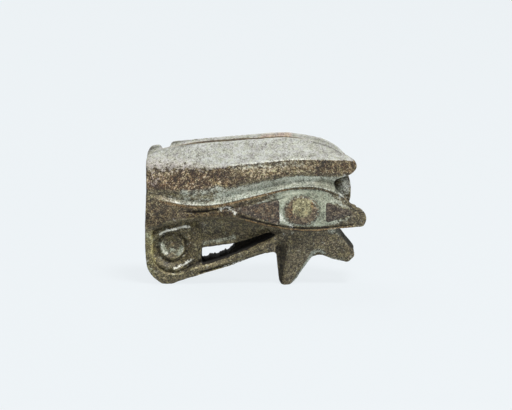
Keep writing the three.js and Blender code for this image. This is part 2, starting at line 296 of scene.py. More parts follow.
@dataclass(frozen=True)
class Spot:
    """Something round or oval about a middle."""

    middle: Point
    amount: float
    half_width: float
    half_height: float
    side: Side = Side.BOTH

    def reach(self, place: Place) -> np.ndarray:
        """Works out the distance from the middle, 1 at the edge.

        Args:
            place: The points.

        Returns:
            The distance of each point.
        """
        across = (place.s - self.middle[0]) * LENGTH / self.half_width
        up = (place.t - self.middle[1]) * HEIGHT / self.half_height
        return np.hypot(across, up)

    def weight(self, place: Place) -> np.ndarray:
        """How strongly it acts at each point, times its amount."""
        return self.amount * swell(self.reach(place), SPOT_FALL) * place.on(self.side)


class Mask(Enum):
    """The masks that the finish of the body reads, each with its attribute and its place in it."""

    PALE = ("patina", 0)
    GLAZE = ("patina", 1)
    OCHRE = ("patina", 2)
    WORN = ("wear", 0)
    SOIL = ("wear", 1)
    CHALK = ("wear", 2)
    SHADE = ("tone", 0)
    RUST = ("tone", 1)
    MOSS = ("tone", 2)


class Layer(Enum):
    """The layers of the body, by the node that each stands for."""

    FRONT = "front_face"
    CORE = "core"
    BACK = "back_face"


class Inlay(Enum):
    """The inlaid pieces of one face, by the end of their nodes' names."""

    PUPIL = "pupil"
    INNER_CORNER = "inner_corner"
    OUTER_CORNER = "outer_corner"


class Value:
    """A number that changes over a surface. Its operators add Math nodes."""

    def __init__(self, nodes: "Nodes", socket: bpy.types.NodeSocket) -> None:
        """Wraps the output socket of a node in the given node tree."""
        self.nodes = nodes
        self.socket = socket

    def _math(self, operation: str, first: Any, second: Any) -> "Value":
        """Adds a Math node on two values or numbers."""
        node = self.nodes.node("ShaderNodeMath", {"operation": operation}, {0: first, 1: second})
        return Value(self.nodes, node.outputs[0])

    def __add__(self, other: Any) -> "Value":
        """The sum."""
        return self._math("ADD", self, other)

    __radd__ = __add__

    def __sub__(self, other: Any) -> "Value":
        """The difference."""
        return self._math("SUBTRACT", self, other)

    def __rsub__(self, other: Any) -> "Value":
        """The difference, taken from a number."""
        return self._math("SUBTRACT", other, self)

    def __mul__(self, other: Any) -> "Value":
        """The product."""
        return self._math("MULTIPLY", self, other)

    __rmul__ = __mul__

    def step(self, low: float, high: float) -> "Value":
        """Rises smoothly from 0 at low to 1 at high.

        Args:
            low: Where the rise starts.
            high: Where it ends.

        Returns:
            The share of the rise.
        """
        node = self.nodes.node(
            "ShaderNodeMapRange",
            {"interpolation_type": "SMOOTHSTEP"},
            {"Value": self, "From Min": low, "From Max": high},
        )
        return Value(self.nodes, node.outputs["Result"])


class Nodes:
    """A node tree and the one method that adds nodes to it."""

    def __init__(self, tree: bpy.types.NodeTree) -> None:
        """Takes over a tree and empties it."""
        self.tree = tree
        self.tree.nodes.clear()

    def node(
        self, kind: str, settings: dict[str, Any] | None = None, inputs: dict[Any, Any] | None = None
    ) -> bpy.types.Node:
        """Adds one node.

        Args:
            kind: The node's type.
            settings: Its properties, set first.
            inputs: Values or links for its sockets, by name or number.

        Returns:
            The node.
        """
        made = self.tree.nodes.new(kind)
        for key, value in (settings or {}).items():
            setattr(made, key, value)
        for key, value in (inputs or {}).items():
            source = value.socket if isinstance(value, Value) else value
            if isinstance(source, bpy.types.NodeSocket):
                self.tree.links.new(source, made.inputs[key])
            else:
                made.inputs[key].default_value = source
        return made


class Paint(Nodes):
    """A material and the nodes in it."""

    RAMP: tuple[Rise, Rise, Rise] = ((0.26, 0.50), (0.46, 0.66), (0.66, 0.94))
    GRAIN_DEPTH: float = 0.05 * MM
    GRAIN_STRENGTH: float = 0.7
    IOR: float = 1.5

    def __init__(self, name: str) -> None:
        """Starts an empty material.

        Args:
            name: The material's name.
        """
        self.material = bpy.data.materials.new(name)
        self.material.use_nodes = True
        super().__init__(self.material.node_tree)

    def place(self) -> bpy.types.NodeSocket:
        """The place on the piece, in millimetres."""
        inputs = {0: self.node("ShaderNodeTexCoord").outputs["Object"], "Scale": 1 / MM}
        return self.node("ShaderNodeVectorMath", {"operation": "SCALE"}, inputs).outputs[0]

    def noise(self, place: bpy.types.NodeSocket, size: float, detail: float, roughness: float) -> Value:
        """Adds soft cloudy noise.

        Args:
            place: The place to read it at.
            size: The rough width of a cloud.
            detail: How many finer layers it has.
            roughness: How strong they are.

        Returns:
            The noise, from 0 to 1 about a half.
        """
        inputs = {"Vector": place, "Scale": 1 / size, "Detail": detail, "Roughness": roughness}
        return Value(self, self.node("ShaderNodeTexNoise", {}, inputs).outputs["Fac"])

    def grains(self, place: bpy.types.NodeSocket, size: float) -> tuple[Value, Value, Value]:
        """Grains of about that width, each with three numbers of its own from 0 to 1."""
        cells = self.node("ShaderNodeTexVoronoi", {}, {"Vector": place, "Scale": 1 / size, "Randomness": 1.0})
        return self.parts(cells.outputs["Color"])

    def patches(self, place: bpy.types.NodeSocket, size: float) -> tuple[Value, Value, Value]:
        """Three soft noises that don't follow each other, with clouds of about that width."""
        inputs = {"Vector": place, "Scale": 1 / size, "Detail": 2.0, "Roughness": 0.6}
        return self.parts(self.node("ShaderNodeTexNoise", {}, inputs).outputs["Color"])

    def parts(self, colour: bpy.types.NodeSocket) -> tuple[Value, Value, Value]:
        """The three numbers in a colour."""
        split = self.node("ShaderNodeSeparateColor", {}, {"Color": colour})
        return tuple(Value(self, split.outputs[i]) for i in range(3))

    def jittered(self, place: bpy.types.NodeSocket, size: float, reach: float) -> bpy.types.NodeSocket:
        """Moves the place about by noise, so that grains lose their straight sides.

        Args:
            place: The place.
            size: The rough width of a cloud of the noise.
            reach: How far the place is moved.

        Returns:
            The moved place.
        """
        noise = self.node("ShaderNodeTexNoise", {}, {"Vector": place, "Scale": 1 / size, "Detail": 1.0})
        inputs = {0: noise.outputs["Color"], 1: (reach, reach, reach), 2: place}
        return self.node("ShaderNodeVectorMath", {"operation": "MULTIPLY_ADD"}, inputs).outputs[0]

    def mix(self, share: Any, first: Any, second: Any, blend: str = "MIX") -> bpy.types.NodeSocket:
        """Mixes two colours.

        Args:
            share: How much of the second colour shows.
            first: A colour or a colour socket.
            second: The other one.
            blend: How the second one is laid over the first.

        Returns:
            The mixed colour.
        """
        filled = [(*c, 1.0) if isinstance(c, tuple) else c for c in (first, second)]
        settings = {"data_type": "RGBA", "blend_type": blend, "clamp_factor": True}
        return self.node("ShaderNodeMix", settings, {0: share, 6: filled[0], 7: filled[1]}).outputs[2]

    def ramp(self, level: Value, tones: Tones) -> bpy.types.NodeSocket:
        """Reads a colour from a finish's tones, the darkest at a low level.

        Args:
            level: The level, about a half.
            tones: The dark, middle, light and palest tone.

        Returns:
            The colour.
        """
        colour, *paler = tones
        for tone, (low, high) in zip(paler, self.RAMP):
            colour = self.mix(level.step(low, high), colour, tone)
        return colour

    def stored(self, name: str) -> tuple[Value, Value, Value]:
        """The three masks that a piece holds in one colour attribute."""
        return self.parts(self.node("ShaderNodeAttribute", {"attribute_name": name}).outputs["Color"])

    def finish(self, colour: Any, roughness: Value, height: Value) -> bpy.types.Material:
        """Closes the material with its shader.

        Args:
            colour: The surface colour.
            roughness: The surface roughness.
            height: The fine relief, from 0 to 1.

        Returns:
            The material.
        """
        depth = {"Height": height, "Distance": self.GRAIN_DEPTH, "Strength": self.GRAIN_STRENGTH}
        fine = self.node("ShaderNodeBump", {}, depth)
        look = {"Base Color": colour, "Roughness": roughness, "Normal": fine.outputs[0], "IOR": self.IOR}
        shader = self.node("ShaderNodeBsdfPrincipled", {}, look)
        self.node("ShaderNodeOutputMaterial", {}, {"Surface": shader.outputs[0]})
        return self.material


def ragged(mask: Any, *noises: tuple[Value, Any]) -> Value:
    """Adds noises about their middles to a mask, so that its edge breaks up.

    Args:
        mask: A value or a number.
        noises: Each noise, from 0 to 1, with how much of it is added.

    Returns:
        The sum.
    """
    for noise, amount in noises:
        mask = mask + (noise - 0.5) * amount
    return mask


class Grit:
    """The noises of a granular finish, from 0 to 1: three for grains, one for dust, three for patches."""

    JITTER = 0.9
    DUST = 0.75

    def __init__(self, paint: Paint, grain: float, patch: float) -> None:
        """Adds the noises.

        Args:
            paint: The paint that they are added to.
            grain: The width of a grain.
            patch: The rough width of a patch.
        """
        self.place = paint.place()
        loose = paint.jittered(self.place, grain, grain * self.JITTER)
        self.fine, self.odd, self.rare = paint.grains(loose, grain)
        self.dust = paint.noise(self.place, grain * self.DUST, 2, 0.7)
        self.first, self.second, self.third = paint.patches(self.place, patch)

    def speck(self, grains: float, dust: float, patches: float) -> Value:
        """The specks, mixed from shares of the grains, the dust and the third patches."""
        return self.fine * grains + self.dust * dust + self.third * patches


@dataclass(frozen=True)
class WornGlaze:
    """Fired granular body under a glaze that is left in the hollows and rubbed off the high parts, with
    painted shade, light and highlights from its masks.
    """

    name: str
    body: Tones = (linear(34, 29, 18), linear(81, 73, 52), linear(124, 115, 85), linear(198, 190, 154))
    umber: Tones = (linear(40, 26, 12), linear(91, 69, 41), linear(131, 115, 85), linear(204, 193, 163))
    film: Tones = (linear(74, 77, 67), linear(138, 141, 126), linear(174, 177, 162), linear(220, 222, 210))
    pale: Tones = (linear(94, 90, 83), linear(150, 151, 143), linear(174, 176, 169), linear(214, 216, 207))
    rust: Colour = (1.26, 0.94, 0.60)
    violet: Colour = (1.0, 0.95, 1.08)
    moss: Colour = (1.03, 1.05, 0.72)
    sea: Colour = (0.93, 1.0, 1.0)
    # Tint of the painted shade.
    painted_shade_tint: Colour = (0.40, 0.37, 0.30)
    ochre: Tones = (linear(56, 39, 20), linear(112, 86, 52), linear(160, 128, 82), linear(214, 190, 146))
    flush: Colour = (1.18, 0.95, 0.86)
    # Near-black of the dirt and of the painted shade.
    soil: Colour = linear(15, 11, 8)
    # Whitish crumbs, and painted highlights.
    chalk: Colour = linear(226, 226, 214)
    grain: float = 0.12
    patch: float = 0.42
    cloud: float = 1.3
    contrast: float = 1.8
    rust_contrast: float = 1.2
    level: float = 0.45
    film_level: float = 0.51
    pale_level: float = 0.50
    odd_grains: float = 0.3
    speck_shares: Span = (0.20, 0.62, 0.18)
    film_edge: Rise = (0.24, 0.80)
    pale_edge: Rise = (0.30, 0.66)
    dirt_and_shade_edge: Rise = (0.16, 0.95)
    dirt_and_shade_cover: float = 0.94
    crumb_and_highlight_edge: Rise = (0.32, 0.85)
    crumb_and_highlight_cover: float = 0.9
    rust_edge: Rise = (0.50, 0.64)
    violet_edge: Rise = (0.46, 0.62)
    green_edge: Rise = (0.0, 0.12)
    sea_edge: Rise = (0.44, 0.60)
    stain_edge: Rise = (0.25, 0.75)
    stain_cover: float = 0.9
    roughness: float = 0.52

    def material(self) -> bpy.types.Material:
        """Builds the finish.

        Returns:
            The material.
        """
        paint = Paint(self.name)
        grit = Grit(paint, self.grain, self.patch)
        clouds = paint.noise(grit.place, self.cloud, 3, 0.6)
        speck = grit.speck(*self.speck_shares)
        # The patina holds the pale top with its painted sheen, glaze with painted highlights, and ochre; the
        # wear holds rubbed wear with painted light, dirt with painted shade, and crumbs with painted
        # highlights; the tone holds painted shade, rust and moss.
        pale, glaze_and_highlight, ochre = paint.stored("patina")
        worn_and_lit, soil, chalk = paint.stored("wear")
        shade, rust, moss = paint.stored("tone")

        colour = self._body(paint, grit, speck, clouds, (worn_and_lit, rust, moss, ochre))
        # Glaze, with painted highlights and painted light in places.
        spread = ragged(glaze_and_highlight, (clouds, 0.6), (grit.first, 0.8), (grit.fine, 0.3))
        film = self._film(paint, grit, speck, clouds, (worn_and_lit, moss))
        colour = paint.mix(spread.step(*self.film_edge), colour, film)
        cover = ragged(pale, (speck, 0.9), (grit.first, 2.0))
        # The pale top: weathering, and a painted sheen of the light from above.
        roof = self._roof(paint, grit, speck, clouds, rust)
        colour = paint.mix(cover.step(*self.pale_edge), colour, roof)

        # Painted shade: darkens the fields that the shade mask marks, most of them where the relief would lie
        # in shadow.
        colour = paint.mix(shade * (grit.dust + 0.2), colour, self.painted_shade_tint, "MULTIPLY")
        # Dirt and painted shade, in near-black.
        dirt_and_shade = ragged(soil, (grit.dust, 0.9), (grit.first, 0.6))
        colour = paint.mix(dirt_and_shade.step(*self.dirt_and_shade_edge) * self.dirt_and_shade_cover, colour, self.soil)
        # Whitish crumbs, and painted highlights on the crests and the curl.
        crumbs_and_highlights = ragged(chalk, (grit.dust, 0.7), (grit.rare, 0.6), (grit.third, 0.5))
        colour = paint.mix(crumbs_and_highlights.step(*self.crumb_and_highlight_edge) * self.crumb_and_highlight_cover, colour, self.chalk)
        gloss = glaze_and_highlight * 0.08 - soil * 0.6 - pale * 0.2 - shade * 0.3
        return paint.finish(colour, ragged(self.roughness, (speck, 0.2)) - gloss, speck)

    def _body(
        self, paint: Paint, grit: Grit, speck: Value, clouds: Value, masks: tuple[Value, Value, Value, Value]
    ) -> bpy.types.NodeSocket:
        """The bare body, browner and rougher in tone where it is rusty.

        Args:
            paint: The paint.
            grit: Its noises.
            speck: Its specks.
            clouds: Its widest noise.
            masks: Where it is worn and painted lighter, rusty, mossy and stained with ochre.

        Returns:
            The colour.
        """
        worn_and_lit, rust, moss, ochre = masks
        # Wear and painted light raise the level.
        level = ragged(worn_and_lit * 0.20 + self.level, (speck, rust * self.rust_contrast + self.contrast))
        level = level + rust * ragged(-0.06, (grit.third, 0.9), (clouds, 1.1))
        umber = rust * 1.1 + rust * (grit.first - 0.5) * 2.0
        body = paint.mix(umber, paint.ramp(level, self.body), paint.ramp(level, self.umber))
        reddish = ragged(grit.first, (grit.odd, self.odd_grains)).step(*self.rust_edge)
        body = paint.mix(reddish * (rust * 0.45 + 0.15), body, self.rust, "MULTIPLY")
        violet = ragged(grit.second, (grit.odd, self.odd_grains)).step(*self.violet_edge)
        body = paint.mix(violet * 0.7, body, self.violet, "MULTIPLY")
        greenish = (0.5 - grit.second).step(*self.green_edge)
        body = paint.mix(moss * (clouds + 0.5) + greenish * 0.3, body, self.moss, "MULTIPLY")
        stained = ragged(ochre, (grit.first, 0.6), (grit.odd, self.odd_grains)).step(*self.stain_edge)
        return paint.mix(stained * self.stain_cover, body, paint.ramp(level, self.ochre))

    def _film(
        self, paint: Paint, grit: Grit, speck: Value, clouds: Value, masks: tuple[Value, Value]
    ) -> bpy.types.NodeSocket:
        """The green glaze that is left in the hollows.

        Args:
            paint: The paint.
            grit: Its noises.
            speck: Its specks.
            clouds: Its widest noise.
            masks: Where it is worn and painted lighter, and mossy.

        Returns:
            The colour.
        """
        worn_and_lit, moss = masks
        # Wear and painted light raise the level, as under the brow's foot, where the hollow lies in shade.
        level = ragged(worn_and_lit * 0.25 + self.film_level, (speck, 1.9 - moss * 2.2), (clouds, 0.45))
        film = paint.ramp(level, self.film)
        film = paint.mix(grit.second.step(*self.sea_edge) * 0.6, film, self.sea, "MULTIPLY")
        return paint.mix(moss * 0.6, film, self.moss, "MULTIPLY")

    def _roof(
        self, paint: Paint, grit: Grit, speck: Value, clouds: Value, rust: Value
    ) -> bpy.types.NodeSocket:
        """The pale grey of the top, part weathering and part a painted sheen of the light from above.

        Args:
            paint: The paint.
            grit: Its noises.
            speck: Its specks.
            clouds: Its widest noise.
            rust: Where it is reddish.

        Returns:
            The colour.
        """
        roof = paint.ramp(ragged(self.pale_level, (speck, 1.1), (clouds, 0.5)), self.pale)
        roof = paint.mix(grit.second.step(*self.violet_edge) * 0.3, roof, self.violet, "MULTIPLY")
        roof = paint.mix((1 - grit.second).step(*self.violet_edge) * 0.22, roof, self.moss, "MULTIPLY")
        return paint.mix(rust, roof, self.flush, "MULTIPLY")


@dataclass(frozen=True)
class Paste:
    """Dull speckled paste of an inlay, with a darker ring and a fringe of the glaze round it."""

    name: str
    middle: Tones
    ring: Tones
    fringe: Tones = (linear(74, 78, 68), linear(118, 124, 108), linear(148, 154, 136), linear(190, 192, 176))
    rust: Colour = (1.28, 0.95, 0.66)
    grain: float = 0.135
    patch: float = 0.42
    contrast: float = 1.8
    level: float = 0.5
    speck_shares: Span = (0.30, 0.45, 0.25)
    ring_edge: Rise = (0.25, 0.80)
    rust_edge: Rise = (0.44, 0.66)
    rust_cover: float = 0.8
    fringe_edge: Rise = (0.42, 0.80)
    fringe_cover: float = 0.9
    roughness: float = 0.5

    def material(self) -> bpy.types.Material:
        """Builds the finish.

        Returns:
            The material.
        """
        paint = Paint(self.name)
        grit = Grit(paint, self.grain, self.patch)
        ring, fringe, rust = paint.stored("inlay")
        speck = grit.speck(*self.speck_shares)
        level = ragged(self.level, (speck, self.contrast))
        edge = ragged(ring, (grit.first, 1.1), (grit.odd, 0.5)).step(*self.ring_edge)
        colour = paint.mix(edge, paint.ramp(level, self.middle), paint.ramp(level, self.ring))
        reddish = ragged(grit.second, (grit.odd, 0.3), (rust, 0.5)).step(*self.rust_edge)
        colour = paint.mix(reddish * self.rust_cover, colour, self.rust, "MULTIPLY")
        fuzz = ragged(fringe, (grit.third, 1.0), (grit.odd, 0.6)).step(*self.fringe_edge)
        colour = paint.mix(fuzz * self.fringe_cover, colour, paint.ramp(level, self.fringe))
        return paint.finish(colour, ragged(self.roughness, (speck, 0.2)), speck)


class Surface:
    """The points of a mesh in millimetres, with what the sculpting and the painting read from them."""

    def __init__(self, piece: bpy.types.Object) -> None:
        """Reads a piece's mesh.

        Args:
            piece: The piece.
        """
        self.mesh = piece.data
        points, edges = self.mesh.vertices, self.mesh.edges
        self.points = self._read(points, "co", (len(points), 3)) / MM
        self.normals = self._read(points, "normal", (len(points), 3))
        self.edges = self._read(edges, "vertices", (len(edges), 2), np.int32)

    @staticmethod
    def _read(source: Any, name: str, shape: tuple[int, int], kind: type = np.float64) -> np.ndarray:
        """Reads one property of every item.

        Args:
            source: The points or the edges of a mesh.
            name: The property.
            shape: How many items there are, and how many numbers each has.
            kind: The kind of number.

        Returns:
            The property, one item in each row.
        """
        values = np.empty(shape[0] * shape[1], dtype=kind)
        source.foreach_get(name, values)
        return values.reshape(shape)

    def place(self) -> Place:
        """Works out where the points lie on the carved design.

        Returns:
            The place of each point.
        """
        return Place(
            s=self.points[:, 0] / LENGTH + 0.5,
            t=self.points[:, 2] / HEIGHT,
            depth=np.abs(self.points[:, 1]) - SEAM,
            facing=np.abs(self.normals[:, 1]),
            side=np.sign(self.points[:, 1]),
        )

    def averaged(self, values: np.ndarray, rounds: int) -> np.ndarray:
        """Spreads values over the mesh.

        Args:
            values: One value, or one row of them, for each point.
            rounds: How many times each point takes the mean of itself and its neighbours.

        Returns:
            The spread values.
        """
        first, second = self.edges.T
        count = len(self.points)
        share = 1 / (1 + np.bincount(first, minlength=count) + np.bincount(second, minlength=count))
        spread = values.reshape(count, -1).astype(float)
        for _ in range(rounds):
            for column in range(spread.shape[1]):
                v = spread[:, column]
                near = np.bincount(first, v[second], count) + np.bincount(second, v[first], count)
                spread[:, column] = (v + near) * share
        return spread.reshape(values.shape)

    def hollow(self, rounds: int) -> np.ndarray:
        """How far each point lies below its surroundings. It is negative on edges and ridges."""
        around = self.averaged(self.points, rounds)
        return np.einsum("ij,ij->i", around - self.points, self.normals)

    def write(self) -> None:
        """Puts the moved points back into the mesh."""
        self.mesh.vertices.foreach_set("co", (self.points * MM).ravel())
        self.mesh.update()

    def store(self, name: str, masks: Sequence[np.ndarray]) -> None:
        """Keeps three masks as one colour attribute.

        Args:
            name: The attribute's name.
            masks: The masks, each from 0 to 1.
        """
        layer = self.mesh.attributes.new(name, "FLOAT_COLOR", "POINT")
        rows = np.column_stack([np.clip(m, 0, 1) for m in masks] + [np.ones(len(self.points))])
        layer.data.foreach_set("color", rows.astype(np.float32).ravel())


def activate(piece: bpy.types.Object) -> None:
    """Selects only one piece and makes it the active one.

    Args:
        piece: The piece.
    """
    bpy.ops.object.select_all(action="DESELECT")
    piece.select_set(True)
    bpy.context.view_layer.objects.active = piece


def modified(piece: bpy.types.Object, kind: str, **settings: Any) -> None:
    """Adds a modifier to a piece and applies it.

    Args:
        piece: The piece.
        kind: The modifier's type.
        settings: The modifier's properties.
    """
    activate(piece)
    modifier = piece.modifiers.new(kind.lower(), kind)
    for key, value in settings.items():
        setattr(modifier, key, value)
    bpy.ops.object.modifier_apply(modifier=modifier.name)


def copy_of_nodes(name: str, nodes: Sequence[str]) -> bpy.types.Object:
    """Joins copies of solids into one object with merged points.

    Args:
        name: The new object's name.
        nodes: The nodes that are copied.

    Returns:
        The object.
    """
    bpy.ops.object.select_all(action="DESELECT")
    for node in nodes:
        frame["nodes"][node].select_set(True)
    bpy.context.view_layer.objects.active = frame["nodes"][nodes[0]]
    bpy.ops.object.duplicate(linked=False)
    bpy.ops.object.parent_clear(type="CLEAR_KEEP_TRANSFORM")
    if len(nodes) > 1:
        bpy.ops.object.join()
    piece = bpy.context.view_layer.objects.active
    piece.name = name
    bpy.ops.object.mode_set(mode="EDIT")
    bpy.ops.mesh.select_all(action="SELECT")
    bpy.ops.mesh.remove_doubles(threshold=MERGE_DISTANCE)
    bpy.ops.object.mode_set(mode="OBJECT")
    piece.data.materials.clear()
    return piece


def roughened(piece: bpy.types.Object, size: float, depth: float) -> None:
    """Moves the surface in and out by soft noise.

    Args:
        piece: The piece.
        size: The rough width of a swelling, in metres.
        depth: From the lowest to the highest place, in metres.
    """
    clouds = bpy.data.textures.new("swelling", "CLOUDS")
    clouds.noise_scale = size
    clouds.noise_depth = 2
    modified(piece, "DISPLACE", texture=clouds, texture_coords="LOCAL", strength=depth, mid_level=0.5)


@dataclass(frozen=True)
class Curl:
    """The dished knob in its hollow at the lower left corner, and the spiral band that winds round it."""

    knob: Spot = Spot((0.118, 0.249), 1.0, 1.16, 1.12)
    knob_edge: float = 0.95
    hollow: Spot = Spot((0.124, 0.252), 1.0, 1.74, 1.72)
    hollow_edge: Rise = (0.72, 1.06)
    arch: Stroke = Stroke(
        ((0.048, 0.315), (0.063, 0.343), (0.087, 0.361), (0.119, 0.375), (0.155, 0.387), (0.195, 0.396),
         (0.219, 0.392)), 0.30, 0.20,
    )
    band: Stroke = Stroke(
        ((0.209, 0.385), (0.222, 0.355), (0.2235, 0.305), (0.220, 0.249), (0.204, 0.194), (0.172, 0.150),
         (0.135, 0.124)), 0.20, 0.60, 0.3,
    )
    band_edge: Rise = (0.0, 0.85)
    lip: Stroke = Stroke(((0.122, 0.106), (0.151, 0.125), (0.178, 0.146), (0.209, 0.176)), 0.12, 0.13)
    ring_height: float = 0.36
    ring_width: float = 0.20
    upper_sink: float = 0.35
    bowl_depth: float = 0.46
    bump: Spot = Spot((0.122, 0.262), 0.14, 0.32, 0.28)
    floor: float = 0.44
    valley: float = 0.82
    rim: float = 1.14
    rim_slope: Rise = (1.35, 2.25)
    zone: Rise = (1.95, 2.45)
    wall_zone: Rise = (1.55, 1.85)
    facing: Rise = (0.45, 0.75)
    above_seam: Rise = (0.2, 0.4)
    left_limit: Rise = (0.026, 0.046)
    left_part: Rise = (0.10, 0.17)
    left_lean: float = 0.25
    left_middle: float = 0.26
    left_top: Rise = (0.30, 0.37)
    left_blend: Rise = (0.2, 0.8)

    def carve(self, place: Place, depth: np.ndarray) -> np.ndarray:
        """Sets the relief of the corner.

        Args:
            place: The points.
            depth: How far each lies above the seam.

        Returns:
            The new depths.
        """
        reach = self.knob.reach(place)
        radius = (self.knob.half_width + self.knob.half_height) / 2
        distance = reach * radius
        band = self.band.weight(place)
        target = self._ground(place, distance, band)
        ring = self.floor + self._ring(place, reach, radius)
        target = np.where(reach < self.knob_edge, ring, np.maximum(target, ring)) + self.bump.weight(place)
        zone = np.maximum(1 - rise(*self.zone, distance), rise(*self.band_edge, band / self.band.amount))
        zone = zone * rise(*self.left_limit, place.s)
        zone = zone * np.maximum(rise(*self.facing, place.facing), 1 - rise(*self.wall_zone, distance))
        return depth + zone * rise(*self.above_seam, depth) * (target - depth)

    def _ground(self, place: Place, distance: np.ndarray, band: np.ndarray) -> np.ndarray:
        """The relief round the knob: the hollow, the band and the slope up to the corner's rim.

        Args:
            place: The points.
            distance: How far each lies from the knob's middle.
            band: How far the spiral band lifts each.

        Returns:
            The heights above the seam.
        """
        around = self.valley + np.maximum(band, self.arch.weight(place)) + self.lip.weight(place)
        left = 1 - rise(*self.left_part, place.s + (place.t - self.left_middle) * self.left_lean)
        slope = self.floor + (self.rim - self.floor) * rise(*self.rim_slope, distance)
        around = around + left * (1 - rise(*self.left_top, place.t)) * (np.maximum(around, slope) - around)
        ground = self.floor + (around - self.floor) * rise(*self.hollow_edge, self.hollow.reach(place))
        return ground + rise(*self.left_blend, left) * (np.minimum(ground, slope) - ground)

    def _ring(self, place: Place, reach: np.ndarray, radius: float) -> np.ndarray:
        """The dished top of the knob and the rounded ring that bounds it.

        Args:
            place: The points.
            reach: The distance from the knob's middle, 1 at its edge.
            radius: The knob's radius.

        Returns:
            The heights above the floor.
        """
        bowl = self.ring_height - self.bowl_depth * np.clip(1 - (reach / self.knob_edge) ** 3, 0, 1)
        outside = self.ring_height * swell((reach - self.knob_edge) * radius, self.ring_width)
        up = (place.t - self.knob.middle[1]) * HEIGHT / np.maximum(reach * radius, 0.1)
        return np.where(reach < self.knob_edge, bowl, outside) * (1 - self.upper_sink * np.clip(up, 0, 1))


@dataclass(frozen=True)
class LongMark:
    """The longer cheek mark: a steep flank left of its ridge, a gentle one right of it, a rounded foot."""

    ridge: tuple[Point, Point] = ((0.655, 0.275), (0.624, 0.0))
    steep: float = 0.80
    steep_limit: float = 0.85
    gentle: float = 0.22
    gentle_limit: float = 0.50
    span: Span = (0.580, 0.770, 0.03)
    top: Rise = (0.22, 0.36)
    foot_middle: float = 2.86
    foot_height: float = 0.85
    foot_taper: float = 0.36
    foot_span: Span = (0.57, 0.72, 0.02)
    sole_drop: float = 0.10
    sole: Rise = (0.0, 0.09)

    def left(self, place: Place) -> np.ndarray:
        """Works out how far each place lies left of the ridge.

        Args:
            place: The points.

        Returns:
            The distances, negative right of the ridge.
        """
        top, foot = (np.array(p) * (LENGTH, HEIGHT) for p in self.ridge)
        run = (foot - top) / np.linalg.norm(foot - top)
        return (place.s * LENGTH - top[0]) * run[1] - (place.t * HEIGHT - top[1]) * run[0]

    def extent(self, place: Place) -> np.ndarray:
        """Is 1 on the mark."""
        return window(*self.span, place.s) * (1 - rise(*self.top, place.t))

    def flanks(self, place: Place) -> np.ndarray:
        """Works out how deep the flanks lie below the ridge.

        Args:
            place: The points.

        Returns:
            The depths.
        """
        left = self.left(place)
        steep = np.clip(self.steep * left, 0, self.steep_limit)
        gentle = np.clip(-self.gentle * left, 0, self.gentle_limit)
        return self.extent(place) * (steep + gentle)

    def round_foot(self, surface: Surface, place: Place) -> None:
        """Narrows the foot toward its sole and lets the sole down to the ground.

        Args:
            surface: The surface.
            place: Where its points lie.
        """
        span = window(*self.foot_span, place.s)
        foot = np.clip(1 - surface.points[:, 2] / self.foot_height, 0, 1) ** 2 * span
        surface.points[:, 0] -= self.foot_taper * foot * (surface.points[:, 0] - self.foot_middle)
        surface.points[:, 2] -= self.sole_drop * (1 - rise(*self.sole, place.t)) * span


@dataclass(frozen=True)
class EyeTip:
    """The eye's right end, let down in front of the notch and smoothed where it meets the core."""

    drop: float = 0.45
    start: Rise = (0.885, 0.935)
    end: Rise = (0.95, 0.98)
    end_loss: float = 0.3
    height: Rise = (0.42, 0.54)
    core_top: float = 0.57
    face_lift: float = 0.10
    face: Rise = (-0.5, 0.1)
    top_edge: float = 0.02
    pocket_start: Rise = (0.93, 0.96)
    pocket_height: Span = (0.42, 0.54, 0.04)
    pocket_depth: Rise = (0.0, 0.35)
    pocket_rounds: int = 120

    def shape(self, surface: Surface, place: Place) -> None:
        """Lets the tip down and smooths the pocket behind the face.

        Args:
            surface: The surface.
            place: Where its points lie.
        """
        tip = rise(*self.start, place.s) * (1 - self.end_loss * rise(*self.end, place.s))
        top = self.core_top + self.face_lift * rise(*self.face, place.depth)
        below = 1 - rise(top - self.top_edge, top + self.top_edge, place.t)
        surface.points[:, 2] -= self.drop * (tip * rise(*self.height, place.t) * below)
        pocket = rise(*self.pocket_start, place.s) * window(*self.pocket_height, place.t)
        pocket = pocket * (1 - rise(*self.pocket_depth, place.depth))
        smooth = surface.averaged(surface.points, self.pocket_rounds)
        surface.points += pocket[:, None] * (smooth - surface.points)


@dataclass(frozen=True)
class GapDirtAndShade:
    """Dirt on the lower wall of the gap, and a plug that stands in for the shade in the gap's narrow end,
    which it closes behind the front face.
    """

    upward: float = 0.3
    flatness: float = 0.75
    back_limit: float = -0.4
    span: Span = (0.245, 0.60, 0.02)
    height: Span = (0.125, 0.36, 0.01)
    thickness: float = 0.06
    waves: tuple[Span, ...] = ((0.09, 5.3, 0.4), (0.06, 12.1, 1.7), (0.05, 23.7, 0.9))
    plug: float = 0.95
    plug_start: Rise = (0.36, 0.46)

    def raise_gap_wall(self, surface: Surface, place: Place) -> None:
        """Raises the wall by the dirt's thickness, and by the plug toward the narrow end.

        Args:
            surface: The surface.
            place: Where its points lie.
        """
        x = surface.points[:, 0]
        wall = (surface.normals[:, 2] > self.upward) * (place.facing < self.flatness)
        wall = wall * window(*self.span, place.s) * window(*self.height, place.t)
        wall = wall * (surface.points[:, 1] > self.back_limit)
        crumbs_and_highlights = sum(size * np.sin(rate * x + start) for size, rate, start in self.waves)
        dirt_and_shade = np.maximum(0, self.thickness + crumbs_and_highlights) + self.plug * rise(*self.plug_start, place.s)
        surface.points[:, 2] += wall * dirt_and_shade


